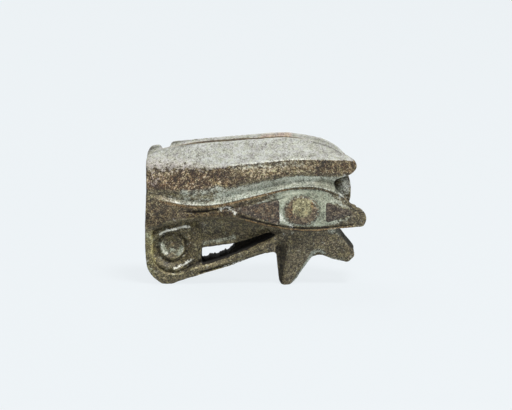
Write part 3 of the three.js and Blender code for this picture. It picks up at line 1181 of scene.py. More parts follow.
@dataclass(frozen=True)
class BoreEnd:
    """The core's end, where it shows in the notch as the round wall of the bore."""

    height: float = 0.645
    radius: float = 1.352
    start: Rise = (0.838, 0.853)
    face: Rise = (0.02, 0.25)
    thinnest: float = 0.25

    def round_off(self, surface: Surface, place: Place) -> None:
        """Rounds the end over.

        Args:
            surface: The surface.
            place: Where its points lie.
        """
        across = (place.t - self.height) * HEIGHT / self.radius
        wall = np.clip(np.sqrt(np.clip(1 - across**2, 0, 1)), self.thinnest, 1)
        shown = rise(*self.start, place.s) * (np.abs(across) < 1) * (1 - rise(*self.face, place.depth))
        surface.points[:, 1] *= 1 - shown * (1 - wall)


@dataclass(frozen=True)
class Relief:
    """Where the fine carving of a face lies, and what it does to the surface there."""

    curl: Curl = Curl()
    long_mark: LongMark = LongMark()
    bore_end: BoreEnd = BoreEnd()
    dirt_and_shade: GapDirtAndShade = GapDirtAndShade()
    eye_tip: EyeTip = EyeTip()
    cuts: tuple[Line | Stroke, ...] = (
        Line(LID_FOOT, -0.13, 0.13, 0.16, 0.43),
        Line(LID_FOOT, -0.05, 0.09, 0.40, 0.60),
        Line(LID_FOOT, -0.06, 0.10, 0.58, 0.93, 0.012),
        Line(EYE_TOP, -0.13, 0.11, 0.36, 0.66),
        Line(LOWER_LID, -0.11, 0.12, 0.38, 0.97, 0.014),
        Line(LOWER_LID, 0.08, 0.16, 0.02, 0.97),
        Line(LID_CREST, 0.09, 0.13, 0.03, 0.50),
        Line(LID_CREST, 0.04, 0.10, 0.45, 0.97),
        Line(BROW_RIDGE, 0.06, 0.12, 0.25, 0.97),
        Stroke(((0.240, 0.076), (0.333, 0.118), (0.425, 0.157), (0.493, 0.194), (0.540, 0.214)), -0.28, 0.14),
        Stroke(((0.245, 0.140), (0.345, 0.182), (0.443, 0.249), (0.553, 0.318)), -0.40, 0.30),
        Stroke(((0.250, 0.238), (0.402, 0.268), (0.459, 0.294)), -0.18, 0.20),
        Stroke(((0.27, 0.345), (0.40, 0.360), (0.50, 0.368), (0.58, 0.378)), -0.30, 0.70),
        Stroke(((0.760, 0.208), (0.722, 0.128), (0.690, 0.060), (0.668, 0.006)), -0.32, 0.20),
        Stroke(((0.775, 0.212), (0.800, 0.212), (0.838, 0.182), (0.900, 0.160)), -0.25, 0.20),
        Stroke(((0.590, 0.220), (0.600, 0.100), (0.607, 0.010)), -0.20, 0.18),
        Stroke(CORNER_RIM, 0.07, 0.13),
    )
    above_seam: Rise = (0.15, 0.7)
    left_swelling: float = 0.15
    left_height: Span = (0.04, 0.66, 0.28)
    left_end: Rise = (0.0, 0.12)

    def sculpt(self, surface: Surface) -> None:
        """Carves the finer lines and forms into a surface.

        Args:
            surface: The surface, whose points are moved.
        """
        place = surface.place()
        change = sum(cut.weight(place) for cut in self.cuts) - self.long_mark.flanks(place)
        change = change * rise(*self.above_seam, place.depth)
        depth = self.curl.carve(place, place.depth)
        surface.points[:, 1] = place.side * (SEAM + depth + change)
        self.bore_end.round_off(surface, place)
        # Dirt on the gap's lower wall, and a plug that is painted dark as the gap's shade.
        self.dirt_and_shade.raise_gap_wall(surface, place)
        self.eye_tip.shape(surface, place)
        self.long_mark.round_foot(surface, place)
        out = window(*self.left_height, place.t) * (1 - rise(*self.left_end, place.s))
        surface.points[:, 0] -= self.left_swelling * out
        surface.points[:, 2] = np.maximum(surface.points[:, 2], 0)


@dataclass(frozen=True)
class Patina:
    """Where the body is pale, glazed, stained, worn, dirty and chalky, and where light, shade and highlights
    are painted on it.
    """

    long_mark: LongMark
    touches: dict[Mask, tuple[Line | Stroke | Spot, ...]]
    pupil: Spot = Spot((0.703, 0.516), 1.0, 1.62, 1.38)
    pupil_ring: tuple[float, float] = (0.45, 0.16)
    core_top_depth: Rise = (-0.10, 0.25)
    core_top_height: float = 0.78
    trough_width: Span = (-1.30, 1.36, 0.50)
    trough_length: Span = (0.04, 0.86, 0.22)
    roof_fade: tuple[float, float] = (0.110, 0.006)
    roof_fade_end: Rise = (0.05, 0.45)
    roof_upward: Rise = (0.30, 0.60)
    cove_foot: Rise = (-0.009, 0.003)
    cove_top: Rise = (-0.035, 0.010)
    cove_softness: float = 0.03
    cove_soft_end: Rise = (0.35, 0.55)
    cove_start: Rise = (0.04, 0.12)
    cove_full: Rise = (0.22, 0.50)
    white_foot: Rise = (0.016, 0.034)
    white_top: Rise = (-0.026, -0.014)
    white_start: Rise = (0.52, 0.62)
    white_end: Rise = (0.79, 0.89)
    lid_span: Span = (0.42, 0.62, 0.08)
    under_top: Rise = (-0.035, -0.012)
    under_end: Rise = (0.50, 0.62)
    left_rim_end: Rise = (0.02, 0.05)
    tip_start: Rise = (0.84, 0.87)
    band_foot: Rise = (0.0, 0.02)
    band_top: Rise = (-0.02, 0.0)
    band_end: Rise = (0.40, 0.55)
    brow_foot: Rise = (0.0, 0.03)
    brow_end: Rise = (0.15, 0.45)
    moss_rim_end: Rise = (0.03, 0.055)
    moss_end: Rise = (0.5, 0.6)
    seam_edge: float = -0.01
    gap_length: Span = (0.235, 0.60, 0.005)
    gap_height: Rise = (0.13, 0.385)
    gap_inside: Span = (0.24, 0.60, 0.01)
    gap_floor: float = 0.12
    gap_depth: Rise = (0.25, 0.45)
    gap_middle: float = 0.16
    wall_facing: float = 0.62
    wall_depths: tuple[float, float] = (1.3, 0.9)
    crease: Rise = (0.012, 0.06)
    basin: Rise = (0.12, 0.35)
    ridge: Rise = (0.012, 0.05)
    left_facing: Rise = (0.45, 0.85)
    left_shade_end: Rise = (0.05, 0.12)
    left_shade_top: float = 0.8
    right_facing: Rise = (0.3, 0.7)
    right_shade_start: Rise = (0.80, 0.84)
    right_shade_top: float = 0.38
    flank_start: Rise = (0.05, 0.35)
    glaze_wear_loss: float = 0.85
    near_rounds: int = 5
    wide_rounds: int = 45

    def paint(self, surface: Surface) -> None:
        """Works out the masks of a finished surface and stores them.

        Args:
            surface: The surface.
        """
        place = surface.place()
        masks = self._grounds(place, surface.normals[:, 2])
        masks[Mask.WORN], masks[Mask.SOIL] = self._wear(surface, place)
        masks[Mask.WORN] = masks[Mask.WORN] * (1 - self.glaze_wear_loss * masks[Mask.GLAZE])
        for mask, touches in self.touches.items():
            masks[mask] = masks.get(mask, 0) + sum(touch.weight(place) for touch in touches)
        for name in ("patina", "wear", "tone"):
            chosen = sorted((m for m in Mask if m.value[0] == name), key=lambda m: m.value[1])
            surface.store(name, [masks[m] for m in chosen])

    def _core_top(self, place: Place) -> np.ndarray:
        """Is 1 on the upper part of the core, between the two brows."""
        return (1 - rise(*self.core_top_depth, place.depth)) * (place.t > self.core_top_height)

    def _trough(self, place: Place) -> np.ndarray:
        """Is 1 in the groove along the top, where dirt and a painted shadow lie."""
        across = window(*self.trough_width, place.side * (place.depth + SEAM))
        return self._core_top(place) * across * window(*self.trough_length, place.s)

    def _roof(self, place: Place, upward: np.ndarray) -> np.ndarray:
        """Works out the pale top, weathering with a painted sheen of the light from above, which fades into
        the brow at its left end.

        Args:
            place: The points.
            upward: How far each faces up.

        Returns:
            The mask.
        """
        left, right = self.roof_fade
        fade = left + (right - left) * rise(*self.roof_fade_end, place.s)
        roof = BROW_RIDGE.above(place, -fade, 0.8 * fade)
        roof = np.maximum(roof, self._core_top(place) * rise(*self.roof_upward, upward))
        return roof * (1 - 0.88 * self._trough(place))

    def _cove(self, place: Place) -> np.ndarray:
        """Works out the glaze in the hollow between the lid and the brow.

        Args:
            place: The points.

        Returns:
            The mask.
        """
        soft = self.cove_softness * (1 - rise(*self.cove_soft_end, place.s))
        low, high = self.cove_top
        cove = LID_CREST.above(place, *self.cove_foot) * (1 - BROW_FOOT.above(place, low - soft, high + soft))
        return cove * rise(*self.cove_start, place.s) * (0.50 + 0.50 * rise(*self.cove_full, place.s))

    def _white(self, place: Place) -> np.ndarray:
        """Works out the glaze on the white of the eye, weaker in a ring round the pupil.

        Args:
            place: The points.

        Returns:
            The mask.
        """
        loss, width = self.pupil_ring
        white = LOWER_LID.above(place, *self.white_foot) * (1 - LID_CREST.above(place, *self.white_top))
        white = white * rise(*self.white_start, place.s) * (1 - 0.90 * rise(*self.white_end, place.s))
        return white * (1 - loss * swell(self.pupil.reach(place) - 1, width))

    def _grounds(self, place: Place, upward: np.ndarray) -> dict[Mask, np.ndarray]:
        """Works out the broad colour fields, from the carved lines between them.

        Args:
            place: The points.
            upward: How far each faces up.

        Returns:
            The fields by their masks.
        """
        s, t = place.s, place.t
        roof, white, trough = self._roof(place, upward), self._white(place), self._trough(place)
        under = 1 - LOWER_LID.above(place, *self.under_top)
        lid = (t > EYE_TOP.at(s)) * (t < LID_FOOT.at(s) - 0.012) * window(*self.lid_span, s)
        left_rim = under * (1 - rise(*self.left_rim_end, s))
        tip = under * rise(*self.tip_start, s)
        glaze_and_highlight = np.maximum.reduce([
            self._cove(place), 0.9 * white, 0.50 * lid, 0.3 * left_rim, 0.2 * tip, 0.16 * under,
        ])

        band = LOWER_LID.above(place, *self.band_foot) * (1 - LID_CREST.above(place, *self.band_top))
        band = band * (1 - rise(*self.band_end, s))
        brow = BROW_FOOT.above(place, *self.brow_foot) * (1 - roof)
        brow_rust = 0.50 + 0.40 * (1 - rise(*self.brow_end, s))
        # Darker fields, with painted shade in the groove along the top.
        shade = 0.30 * band + 0.14 * white + 0.90 * trough
        shade = shade + under * (0.15 + 0.10 * (1 - rise(*self.under_end, s)))
        moss = 0.38 * white + 0.5 * trough
        moss = moss + under * (0.5 * (1 - rise(*self.moss_rim_end, s)) + 0.30 * (1 - rise(*self.moss_end, s)))
        return {
            Mask.PALE: roof, Mask.GLAZE: glaze_and_highlight * (place.depth > self.seam_edge), Mask.OCHRE: 0.18 * band,
            Mask.SHADE: shade, Mask.RUST: brow * brow_rust + 0.35 * band, Mask.MOSS: moss,
        }

    def _wear(self, surface: Surface, place: Place) -> tuple[np.ndarray, np.ndarray]:
        """Works out what the form brings with it.

        Args:
            surface: The surface.
            place: Where its points lie.

        Returns:
            Rubbed edges; dirt and painted shade in hollows, in the gap, along the top and on steep sides.
        """
        s, t, depth = place.s, place.t, place.depth
        leftward, upward = -surface.normals[:, 0], surface.normals[:, 2]
        near = surface.hollow(self.near_rounds)
        wide = surface.hollow(self.wide_rounds)
        # Dirt and painted shade in creases and basins.
        hollow = 0.6 * rise(*self.crease, near) + 0.25 * rise(*self.basin, wide)

        # Painted shade on the walls of the gap and inside it.
        low, high = self.gap_height
        deepest, outward_deepest = self.wall_depths
        inward = upward * np.sign(t - LOWER_LID.at(s) + self.gap_middle) < 0
        wall = (place.facing < self.wall_facing) * (depth < deepest) * (inward | (depth < outward_deepest))
        wall = wall * window(*self.gap_length, s) * (t > low) * (t < high)
        inside = window(*self.gap_inside, s) * (t > self.gap_floor) * (t < high)
        inside = inside * (1 - rise(*self.gap_depth, depth))

        # Painted shade on the sides at both ends that turn from the light, and on the long mark's steep
        # flank.
        left_end = rise(*self.left_facing, leftward) * (1 - rise(*self.left_shade_end, s))
        left_end = left_end * (t < self.left_shade_top)
        right_end = rise(*self.right_facing, -leftward) * rise(*self.right_shade_start, s)
        right_end = right_end * (t < self.right_shade_top)
        flank = self.long_mark.extent(place) * rise(*self.flank_start, self.long_mark.left(place))
        soil = np.maximum.reduce([
            hollow, 0.95 * wall, inside, 0.55 * left_end, 0.24 * right_end, 0.42 * self._trough(place),
            0.72 * flank,
        ])
        return 0.7 * rise(*self.ridge, -near), soil


TOUCHES: dict[Mask, tuple[Line | Stroke | Spot, ...]] = {
    # The rear brow's left end, the end of the bore, painted lighter against the brow's shadow, and the left
    # end of the brow.
    Mask.PALE: (
        Stroke(((0.0, 0.905), (0.06, 0.925)), 0.5, 0.30, 0.5, Side.BACK),
        Spot(BORE_END, 0.80, 0.7, 1.2),
        Spot((0.04, 0.72), 0.36, 0.9, 0.7),
    ),
    # Glaze that is left along the eye and its corners, on the marks and on the brow.
    # Painted highlights on the lower rim of the curl's knob, and painted light on the end of the bore, which
    # lies in the brow's shadow.
    Mask.GLAZE: (
        Stroke(((0.758, 0.225), (0.781, 0.238), (0.808, 0.220)), 0.45, 0.22, 0.4),
        Stroke(((0.070, 0.270), (0.076, 0.235), (0.090, 0.212)), 0.50, 0.26),
        Stroke(((0.142, 0.203), (0.155, 0.225), (0.160, 0.25)), 0.60, 0.24),
        Spot((0.118, 0.225), 0.45, 0.45, 0.30),
        Stroke(((0.831, 0.590), (0.885, 0.552), (0.936, 0.508)), 0.36, 0.22),
        Stroke(((0.82, 0.430), (0.88, 0.442), (0.93, 0.470)), 0.36, 0.20),
        Stroke(((0.17, 0.640), (0.25, 0.645), (0.33, 0.672)), 0.5, 0.35),
        Stroke(LONG_MARK_EDGE, 0.9, 0.18, 0.3),
        Stroke(((0.813, 0.190), (0.849, 0.168), (0.886, 0.158)), 0.6, 0.12, 0.3),
        Stroke(((0.836, 0.372), (0.868, 0.369), (0.886, 0.352)), 0.5, 0.35, 0.3),
        Spot(BORE_END, 0.55, 0.8, 1.4),
        Stroke(((0.40, 0.815), (0.50, 0.825), (0.60, 0.835), (0.70, 0.835)), 0.38, 0.45, 0.3),
        Stroke(((0.260, 0.280), (0.311, 0.294), (0.356, 0.304), (0.397, 0.315)), 0.4, 0.22, 0.3),
        Stroke(INNER_CORNER_EDGE, 0.4, 0.28, 0.3),
    ),
    # Brown lines under the lid's crest and along the lower lid, and spots in the curl.
    Mask.OCHRE: (
        Line(LID_CREST, 0.85, 0.13, 0.03, 0.66, -0.014),
        Line(LID_CREST, 0.55, 0.07, 0.60, 0.98, -0.011),
        Line(LOWER_LID, 0.75, 0.09, 0.42, 0.97, 0.002),
        Stroke(((0.205, 0.478), (0.242, 0.474), (0.279, 0.485), (0.333, 0.488)), 0.15, 0.25),
        Spot((0.118, 0.272), 0.6, 0.4, 0.35),
        Stroke(((0.189, 0.340), (0.200, 0.296), (0.190, 0.243)), 0.6, 0.12),
    ),
    # Rubbed ridges and lighter fields: brow, lid, band, the corner's rim.
    # Painted light under the brow's foot and beneath the lid's crest, where the relief lies in shade, and on
    # the shadowed end of the bore.
    Mask.WORN: (
        Line(BROW_RIDGE, 0.9, 0.08, 0.30, 0.98, 0.002),
        Stroke(((0.010, 0.37), (0.012, 0.24), (0.030, 0.13)), 0.6, 0.30),
        Line(BROW_FOOT, 0.7, 0.32, 0.08, 0.80, -0.030),
        Line(LID_FOOT, 0.35, 0.16, 0.60, 0.84, -0.012),
        Stroke(((0.23, 0.588), (0.29, 0.588), (0.34, 0.602)), 0.7, 0.32),
        Line(LID_CREST, 0.8, 0.18, 0.18, 0.56, -0.018),
        Stroke(((0.45, 0.785), (0.54, 0.797), (0.63, 0.808), (0.74, 0.812)), 1.0, 0.62, 0.4),
        Spot(BORE_END, 0.9, 0.8, 1.1),
        Stroke(CORNER_RIM, 0.9, 0.12),
        Line(LOWER_LID, 0.25, 0.08, 0.05, 0.25, -0.004),
        Stroke(((0.03, 0.605), (0.08, 0.588), (0.14, 0.568)), 0.9, 0.24),
    ),
    # Dirt in the cut lines, and painted shade along the rear brow, in the notch, in the gap and round the
    # curl.
    # Painted shade at the left edge, and a painted shadow on the left of the bore's end, which elsewhere has
    # less.
    Mask.SOIL: (
        Line(LID_FOOT, 0.56, 0.10, 0.165, 0.43),
        Line(LID_FOOT, 0.14, 0.07, 0.40, 0.62),
        Line(LID_FOOT, 0.28, 0.06, 0.60, 0.97, 0.014),
        Line(EYE_TOP, 0.50, 0.09, 0.37, 0.64),
        Line(LOWER_LID, 0.66, 0.09, 0.39, 0.97, 0.013),
        Stroke(((0.009, 0.885), (0.096, 0.924), (0.183, 0.946), (0.301, 0.972), (0.425, 0.986)), 0.5, 0.12),
        Stroke(((0.758, 0.970), (0.800, 0.951), (0.840, 0.929), (0.886, 0.888)), 0.60, 0.08, 0.0, Side.FRONT),
        Stroke(((0.42, 0.290), (0.50, 0.325), (0.56, 0.352), (0.60, 0.368)), 0.45, 0.38, 0.3),
        Stroke(((0.868, 0.720), (0.858, 0.690), (0.862, 0.655), (0.872, 0.622)), 0.60, 0.14),
        Stroke(((0.064, 0.30), (0.084, 0.338), (0.116, 0.350), (0.150, 0.345), (0.172, 0.31), (0.176, 0.27)),
               0.35, 0.13),
        Stroke(((0.242, 0.084), (0.315, 0.119), (0.406, 0.170), (0.479, 0.215), (0.534, 0.243)), 0.45, 0.08),
        Stroke(((0.006, 0.80), (0.006, 0.40)), 0.35, 0.12),
        Stroke(((0.262, 0.175), (0.22, 0.132), (0.18, 0.097)), 0.60, 0.24),
        Stroke(((0.19, 0.470), (0.27, 0.478), (0.36, 0.488)), 0.30, 0.26),
        Stroke(((0.422, 0.486), (0.455, 0.464), (0.515, 0.436)), 0.75, 0.10),
        Spot(BORE_END, -0.70, 0.8, 1.2),
    ),
    # Whitish crumbs at the eye's inner corner, on the bar and on the marks.
    # Painted highlights on the crests, on the curl and at the eye's tip, and painted light on the bore's end.
    Mask.CHALK: (
        Line(LID_CREST, 0.46, 0.07, 0.05, 0.45, 0.003),
        Line(LID_CREST, 0.50, 0.06, 0.40, 0.64, -0.002),
        Line(LID_CREST, 0.34, 0.05, 0.62, 0.97, 0.002),
        Line(BROW_RIDGE, 0.60, 0.10, 0.36, 0.80, 0.001),
        Stroke(((0.335, 0.520), (0.36, 0.532), (0.388, 0.518), (0.402, 0.495)), 0.62, 0.24),
        Stroke(((0.600, 0.499), (0.612, 0.464), (0.639, 0.430), (0.662, 0.413)), 0.60, 0.24),
        Stroke(INNER_CORNER_EDGE, 0.22, 0.22),
        Stroke(((0.416, 0.667), (0.457, 0.664), (0.525, 0.692)), 0.42, 0.22),
        Stroke(((0.063, 0.342), (0.087, 0.362), (0.119, 0.376), (0.155, 0.388), (0.195, 0.396)), 0.95, 0.15),
        Stroke(((0.128, 0.111), (0.151, 0.125), (0.178, 0.146), (0.205, 0.170)), 0.75, 0.15),
        Stroke(((0.070, 0.265), (0.076, 0.228), (0.090, 0.208)), 0.50, 0.18),
        Stroke(((0.142, 0.196), (0.155, 0.214), (0.163, 0.242)), 0.50, 0.13),
        Stroke(((0.189, 0.340), (0.200, 0.296), (0.190, 0.243), (0.174, 0.199), (0.142, 0.170)), 0.45, 0.07),
        Stroke(((0.342, 0.116), (0.388, 0.137), (0.447, 0.168)), 0.55, 0.09),
        Stroke(LONG_MARK_EDGE, 0.35, 0.12),
        Stroke(((0.909, 0.584), (0.936, 0.560), (0.963, 0.536), (0.984, 0.499)), 0.40, 0.10),
        Spot(BORE_END, 0.60, 0.7, 1.2),
    ),
    # Duller and darker fields, much of them painted shade: the upper half of the curl's knob, the gap's end,
    # the long mark and the lid's lit crest.
    Mask.SHADE: (
        Spot((0.118, 0.300), 0.70, 0.85, 0.32),
        Stroke(((0.155, 0.330), (0.172, 0.30), (0.178, 0.262)), 0.6, 0.2),
        Stroke(((0.48, 0.325), (0.54, 0.347), (0.60, 0.368)), 0.35, 0.40),
        Stroke(((0.214, 0.370), (0.222, 0.305), (0.214, 0.235), (0.190, 0.180)), 0.85, 0.5),
        Stroke(((0.80, 0.705), (0.835, 0.695), (0.87, 0.675)), 0.95, 0.42, 0.3),
        Line(LID_CREST, 0.50, 0.20, 0.52, 0.90, 0.013),
        Line(LID_CREST, 0.80, 0.36, 0.74, 0.97, 0.028),
        Spot((0.114, 0.190), 0.45, 0.40, 0.35),
        Line(LID_CREST, 0.25, 0.20, 0.06, 0.45, 0.018),
        Line(LOWER_LID, 0.40, 0.22, 0.18, 0.52, 0.012),
        Spot((0.78, 0.93), 0.18, 2.8, 1.5),
        Spot((0.70, 0.31), 0.42, 2.6, 1.2),
        Spot((0.93, 0.30), 0.30, 1.5, 1.5),
        Spot((0.40, 0.37), 0.40, 3.2, 1.0),
        Spot((0.30, 0.33), 0.30, 1.0, 1.0),
        Spot((0.37, 0.70), 0.50, 1.2, 0.35),
        Spot((0.215, 0.64), 0.35, 0.6, 0.5),
        Spot((0.87, 0.52), 0.32, 1.5, 1.2),
        Line(BROW_FOOT, 0.62, 0.32, 0.34, 0.68, -0.035),
        Spot((0.675, 0.30), 0.40, 0.9, 1.3),
        Spot((0.05, 0.43), 1.0, 1.2, 1.0),
        Spot((0.16, 0.44), 0.35, 1.5, 0.7),
        Line(LOWER_LID, 0.80, 0.16, 0.40, 0.95, 0.000),
        Spot((0.62, 0.02), 0.65, 0.9, 0.9),
        Spot((0.90, 0.25), 0.40, 1.3, 1.1),
        Stroke(((0.80, 0.800), (0.95, 0.800)), 0.30, 0.45, 0.3),
        Stroke(((0.200, 0.475), (0.26, 0.477), (0.34, 0.485), (0.42, 0.478)), 0.85, 0.30),
        Stroke(((0.08, 0.49), (0.24, 0.50), (0.38, 0.51)), 0.25, 0.5, 0.4),
        Spot((0.985, 0.47), 0.55, 0.9, 0.9),
        Spot((0.90, 0.47), 0.30, 1.0, 0.8),
        Spot((0.01, 0.85), 0.35, 0.9, 0.8),
    ),
    # Reddish places: three near the brow's foot, two on the rear brow.
    Mask.RUST: (
        Spot((0.383, 0.686), 0.5, 0.9, 0.4),
        Spot((0.625, 0.766), 0.7, 0.6, 0.25),
        Spot((0.781, 0.764), 0.5, 0.5, 0.2),
        Stroke(((0.53, 0.967), (0.575, 0.973)), 1.0, 0.3, 0.3, Side.BACK),
        Stroke(((0.603, 0.98), (0.648, 0.986)), 1.0, 0.3, 0.3, Side.BACK),
    ),
}


@dataclass(frozen=True)
class CarvedBody:
    """The three layers of the body, sculpted as one and parted at the seams."""

    relief: Relief
    patina: Patina
    outer_finish: WornGlaze
    core_finish: WornGlaze
    voxel: float = 0.084 * MM
    edge_rounds: int = 4
    swell_size: float = 1.6 * MM
    swell_depth: float = 0.09 * MM
    pit_size: float = 0.34 * MM
    pit_depth: float = 0.05 * MM
    crease_angle: float = math.radians(50)
    cut_threshold: float = 0.0001 * MM
    smoothing: float = 0.5

    def build(self) -> dict[Layer, bpy.types.Object]:
        """Makes the body and parts it.

        Returns:
            The piece of each layer.
        """
        whole = copy_of_nodes("body", [layer.value for layer in Layer])
        modified(whole, "REMESH", mode="VOXEL", voxel_size=self.voxel, use_smooth_shade=True)
        modified(whole, "SMOOTH", factor=self.smoothing, iterations=self.edge_rounds)
        surface = Surface(whole)
        self.relief.sculpt(surface)
        surface.write()
        modified(whole, "SMOOTH", factor=self.smoothing, iterations=1)
        roughened(whole, self.swell_size, self.swell_depth)
        roughened(whole, self.pit_size, self.pit_depth)
        self.patina.paint(Surface(whole))
        pieces = {layer: self._part(whole, layer) for layer in Layer}
        bpy.data.objects.remove(whole)
        return pieces

    def _part(self, whole: bpy.types.Object, layer: Layer) -> bpy.types.Object:
        """Cuts one layer out of a copy of the whole body.

        Args:
            whole: The sculpted body.
            layer: The layer that stays.

        Returns:
            The closed piece.
        """
        activate(whole)
        bpy.ops.object.duplicate(linked=False)
        piece = bpy.context.view_layer.objects.active
        piece.name = f"{layer.value}_carved"
        cuts = {
            Layer.FRONT: ((-SEAM, 1),),
            Layer.CORE: ((SEAM, 1), (-SEAM, -1)),
            Layer.BACK: ((SEAM, -1),),
        }
        bpy.ops.object.mode_set(mode="EDIT")
        for level, way in cuts[layer]:
            bpy.ops.mesh.select_all(action="SELECT")
            bpy.ops.mesh.bisect(
                plane_co=(0, level * MM, 0), plane_no=(0, way, 0), clear_outer=True,
                threshold=self.cut_threshold,
            )
            bpy.ops.mesh.fill(use_beauty=False)
        bpy.ops.object.mode_set(mode="OBJECT")
        bpy.ops.object.shade_smooth_by_angle(angle=self.crease_angle)
        return piece

    def dress(self, pieces: dict[Layer, bpy.types.Object]) -> None:
        """Gives each layer its finish and its place in the amulet.

        Args:
            pieces: The piece of each layer.
        """
        outer, inner = self.outer_finish.material(), self.core_finish.material()
        for layer, piece in pieces.items():
            if layer is Layer.CORE:
                settle(piece, layer.value, inner)
            else:
                settle(piece, layer.value, outer)


FRINGES: dict[Inlay, float] = {Inlay.PUPIL: 0.58, Inlay.INNER_CORNER: 0.22, Inlay.OUTER_CORNER: 0.26}
CORNER_RUST: dict[Inlay, float] = {Inlay.INNER_CORNER: 0.5, Inlay.OUTER_CORNER: 0.0}


@dataclass(frozen=True)
class Inlays:
    """The pupils and the corner triangles, set into the faces."""

    pupil_finish: Paste
    corner_finish: Paste
    voxel: float = 0.045 * MM
    growth: float = 0.15 * MM
    proud: float = 0.03 * MM
    pit_size: float = 0.34 * MM
    pit_depth: float = 0.05 * MM
    smoothing: float = 0.5
    edge_rounds: int = 3
    fringe_rounds: int = 22
    ring_rounds: int = 60
    glow: Spot = Spot((0.708, 0.542), 1.0, 1.15, 1.04)
    glow_edge: Rise = (0.62, 1.20)
    fringe_edge: Rise = (0.0, 0.25)
    ring_edge: Rise = (0.0, 0.12)
    outward: Rise = (0.2, 0.8)
    wall_facing: float = 0.5
    rusty: tuple[Spot, ...] = (
        Spot((0.655, 0.530), 1.0, 0.40, 0.9),
        Spot((0.752, 0.560), 1.0, 0.35, 0.6),
        Spot((0.71, 0.49), 0.3, 0.7, 0.3),
    )

    def build(self) -> dict[str, bpy.types.Object]:
        """Makes every inlay of both faces.

        Returns:
            The pieces by the node that each stands for.
        """
        wanted = {f"{side}_{inlay.value}": inlay for side in ("front", "back") for inlay in Inlay}
        return {node: self._inlay(node, inlay) for node, inlay in wanted.items()}

    def _inlay(self, node: str, inlay: Inlay) -> bpy.types.Object:
        """Makes one inlay from its solid.

        Args:
            node: The solid's name.
            inlay: What it is.

        Returns:
            The piece, with its masks.
        """
        piece = copy_of_nodes(f"{node}_paste", [node])
        modified(piece, "REMESH", mode="VOXEL", voxel_size=self.voxel, use_smooth_shade=True)
        modified(piece, "SMOOTH", factor=self.smoothing, iterations=self.edge_rounds)
        modified(piece, "DISPLACE", strength=self.growth, mid_level=0.0)
        roughened(piece, self.pit_size, self.pit_depth)
        surface = Surface(piece)
        place = surface.place()
        outward = rise(*self.outward, surface.normals[:, 1] * place.side)
        surface.points[:, 1] -= place.side * outward * (self.growth - self.proud) / MM
        surface.write()
        walls = (place.facing < self.wall_facing).astype(float)
        fringe = rise(*self.fringe_edge, surface.averaged(walls, self.fringe_rounds))
        if inlay is Inlay.PUPIL:
            ring = rise(*self.glow_edge, self.glow.reach(place))
            rust = sum(spot.weight(place) for spot in self.rusty)
        else:
            ring = rise(*self.ring_edge, surface.averaged(walls, self.ring_rounds))
            rust = np.full(len(walls), CORNER_RUST[inlay])
        surface.store("inlay", (ring, fringe * FRINGES[inlay], rust))
        return piece

    def dress(self, pieces: dict[str, bpy.types.Object]) -> None:
        """Gives each inlay its paste and its place in the amulet.

        Args:
            pieces: The pieces by the node that each stands for.
        """
        pupil, corner = self.pupil_finish.material(), self.corner_finish.material()
        for node, piece in pieces.items():
            if node.endswith(Inlay.PUPIL.value):
                settle(piece, node, pupil)
            else:
                settle(piece, node, corner)


def settle(piece: bpy.types.Object, node: str, material: bpy.types.Material) -> None:
    """Lets a finished piece stand for its solid.

    Args:
        piece: The piece.
        node: The solid's name.
        material: The piece's finish.
    """
    piece.data.materials.clear()
    piece.data.materials.append(material)
    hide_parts(node)
    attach(piece, ROOT_BODY)
    log.info("%s: %d faces, stands for %s", piece.name, len(piece.data.polygons), node)


@dataclass(frozen=True)
class Lamp:
    """A soft square lamp that looks at the amulet."""

    name: str
    place: tuple[float, float, float]
    size: float
    power: float


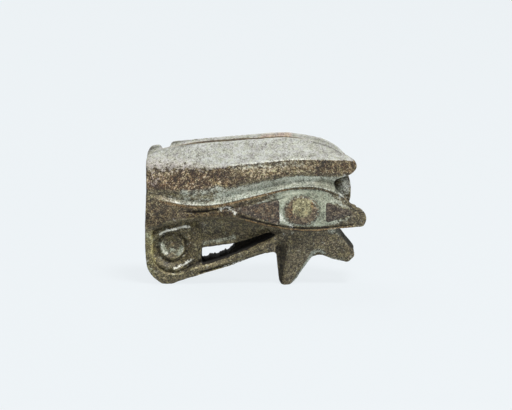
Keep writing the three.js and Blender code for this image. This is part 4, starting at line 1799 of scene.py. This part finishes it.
@dataclass(frozen=True)
class Studio:
    """Pale floor, soft lamps and the camera."""

    camera_height: float = math.radians(10)
    camera_distance: float = 0.40
    lens: float = 280.0
    aim: tuple[float, float, float] = (-0.05 * MM, 0.0, 7.65 * MM)
    clip: tuple[float, float] = (0.01, 20.0)
    floor_size: float = 4.0
    floor_colour: Colour = linear(208, 213, 216)
    sky_colour: Colour = linear(240, 244, 247)
    seen_colour: Colour = linear(236, 241, 244)
    floor_glow: float = 0.93
    ambient: float = 0.15
    lamps: tuple[Lamp, ...] = (
        Lamp("key", (0.12, -0.17, 0.44), 0.15, 3.2),
        Lamp("fill", (-0.10, -0.50, 0.24), 0.30, 0.55),
        Lamp("rear", (-0.16, 0.32, 0.32), 0.30, 1.3),
    )

    def build(self) -> None:
        """Sets up the floor, the lamps, the world and the camera."""
        self._floor()
        self._world()
        for lamp in self.lamps:
            self._add(lamp)
        self._camera()
        bpy.context.scene.view_settings.view_transform = "Standard"

    def _floor(self) -> None:
        """A wide pale floor that the amulet stands on. Seen directly, part of its colour is its own glow."""
        bpy.ops.object.select_all(action="DESELECT")
        bpy.ops.mesh.primitive_plane_add(size=self.floor_size)
        floor = bpy.context.view_layer.objects.active
        floor.name = "floor"
        paint = Paint("pale_floor")
        matt = paint.node("ShaderNodeBsdfDiffuse", {}, {"Color": (*self.floor_colour, 1)})
        glow = paint.node("ShaderNodeEmission", {}, {"Color": (*self.seen_colour, 1), "Strength": 1.0})
        rays = paint.node("ShaderNodeLightPath")
        seen = Value(paint, rays.outputs["Is Camera Ray"]) * self.floor_glow
        both = paint.node("ShaderNodeMixShader", {}, {0: seen, 1: matt.outputs[0], 2: glow.outputs[0]})
        paint.node("ShaderNodeOutputMaterial", {}, {"Surface": both.outputs[0]})
        floor.data.materials.append(paint.material)

    def _world(self) -> None:
        """An even pale surround, seen as the backdrop's colour and weaker as light."""
        world = bpy.data.worlds.new("surround")
        bpy.context.scene.world = world
        world.use_nodes = True
        nodes = Nodes(world.node_tree)
        mixed: dict[int, bpy.types.NodeSocket] = {
            0: nodes.node("ShaderNodeLightPath").outputs["Is Camera Ray"],
        }
        for place, strength in ((1, self.ambient), (2, 1.0)):
            light = {"Color": (*self.sky_colour, 1), "Strength": strength}
            mixed[place] = nodes.node("ShaderNodeBackground", {}, light).outputs[0]
        both = nodes.node("ShaderNodeMixShader", {}, mixed)
        nodes.node("ShaderNodeOutputWorld", {}, {"Surface": both.outputs[0]})

    def _add(self, lamp: Lamp) -> None:
        """Adds one lamp.

        Args:
            lamp: The lamp.
        """
        bpy.ops.object.select_all(action="DESELECT")
        bpy.ops.object.light_add(type="AREA", location=lamp.place, rotation=self._looking(lamp.place))
        light = bpy.context.view_layer.objects.active
        light.name = lamp.name
        light.data.size = lamp.size
        light.data.energy = lamp.power

    def _looking(self, place: Sequence[float]) -> tuple[float, float, float]:
        """The turn that points a camera or a lamp at the amulet's middle."""
        x, y, z = (a - b for a, b in zip(self.aim, place))
        return (math.pi / 2 + math.atan2(z, math.hypot(x, y)), 0.0, math.atan2(-x, y))

    def _camera(self) -> None:
        """Places the camera a little above the amulet, in front of it."""
        x, y, z = self.aim
        reach = self.camera_distance
        place = (x, y - reach * math.cos(self.camera_height), z + reach * math.sin(self.camera_height))
        bpy.ops.object.select_all(action="DESELECT")
        bpy.ops.object.camera_add(location=place, rotation=self._looking(place))
        camera = bpy.context.view_layer.objects.active
        camera.data.lens = self.lens
        camera.data.clip_start, camera.data.clip_end = self.clip
        bpy.context.scene.camera = camera


def main() -> None:
    """Builds the amulet and its studio."""
    logging.basicConfig(level=logging.INFO, format="%(name)s: %(message)s")
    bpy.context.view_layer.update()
    relief = Relief()
    body = CarvedBody(
        relief, Patina(relief.long_mark, TOUCHES), WornGlaze("worn_glaze_painted_light"), WornGlaze("worn_core_painted_light")
    )
    body.dress(body.build())
    inlays = Inlays(
        pupil_finish=Paste(
            "pupil_paste",
            middle=(linear(66, 60, 40), linear(120, 114, 84), linear(148, 142, 106), linear(196, 190, 154)),
            ring=(linear(38, 29, 21), linear(80, 67, 50), linear(110, 95, 73), linear(170, 155, 126)),
        ),
        corner_finish=Paste(
            "corner_paste",
            middle=(linear(28, 20, 14), linear(64, 53, 40), linear(98, 86, 67), linear(172, 158, 128)),
            ring=(linear(26, 19, 15), linear(55, 45, 36), linear(83, 72, 59), linear(142, 132, 112)),
        ),
    )
    inlays.dress(inlays.build())
    Studio().build()


if __name__ == "__main__":
    main()
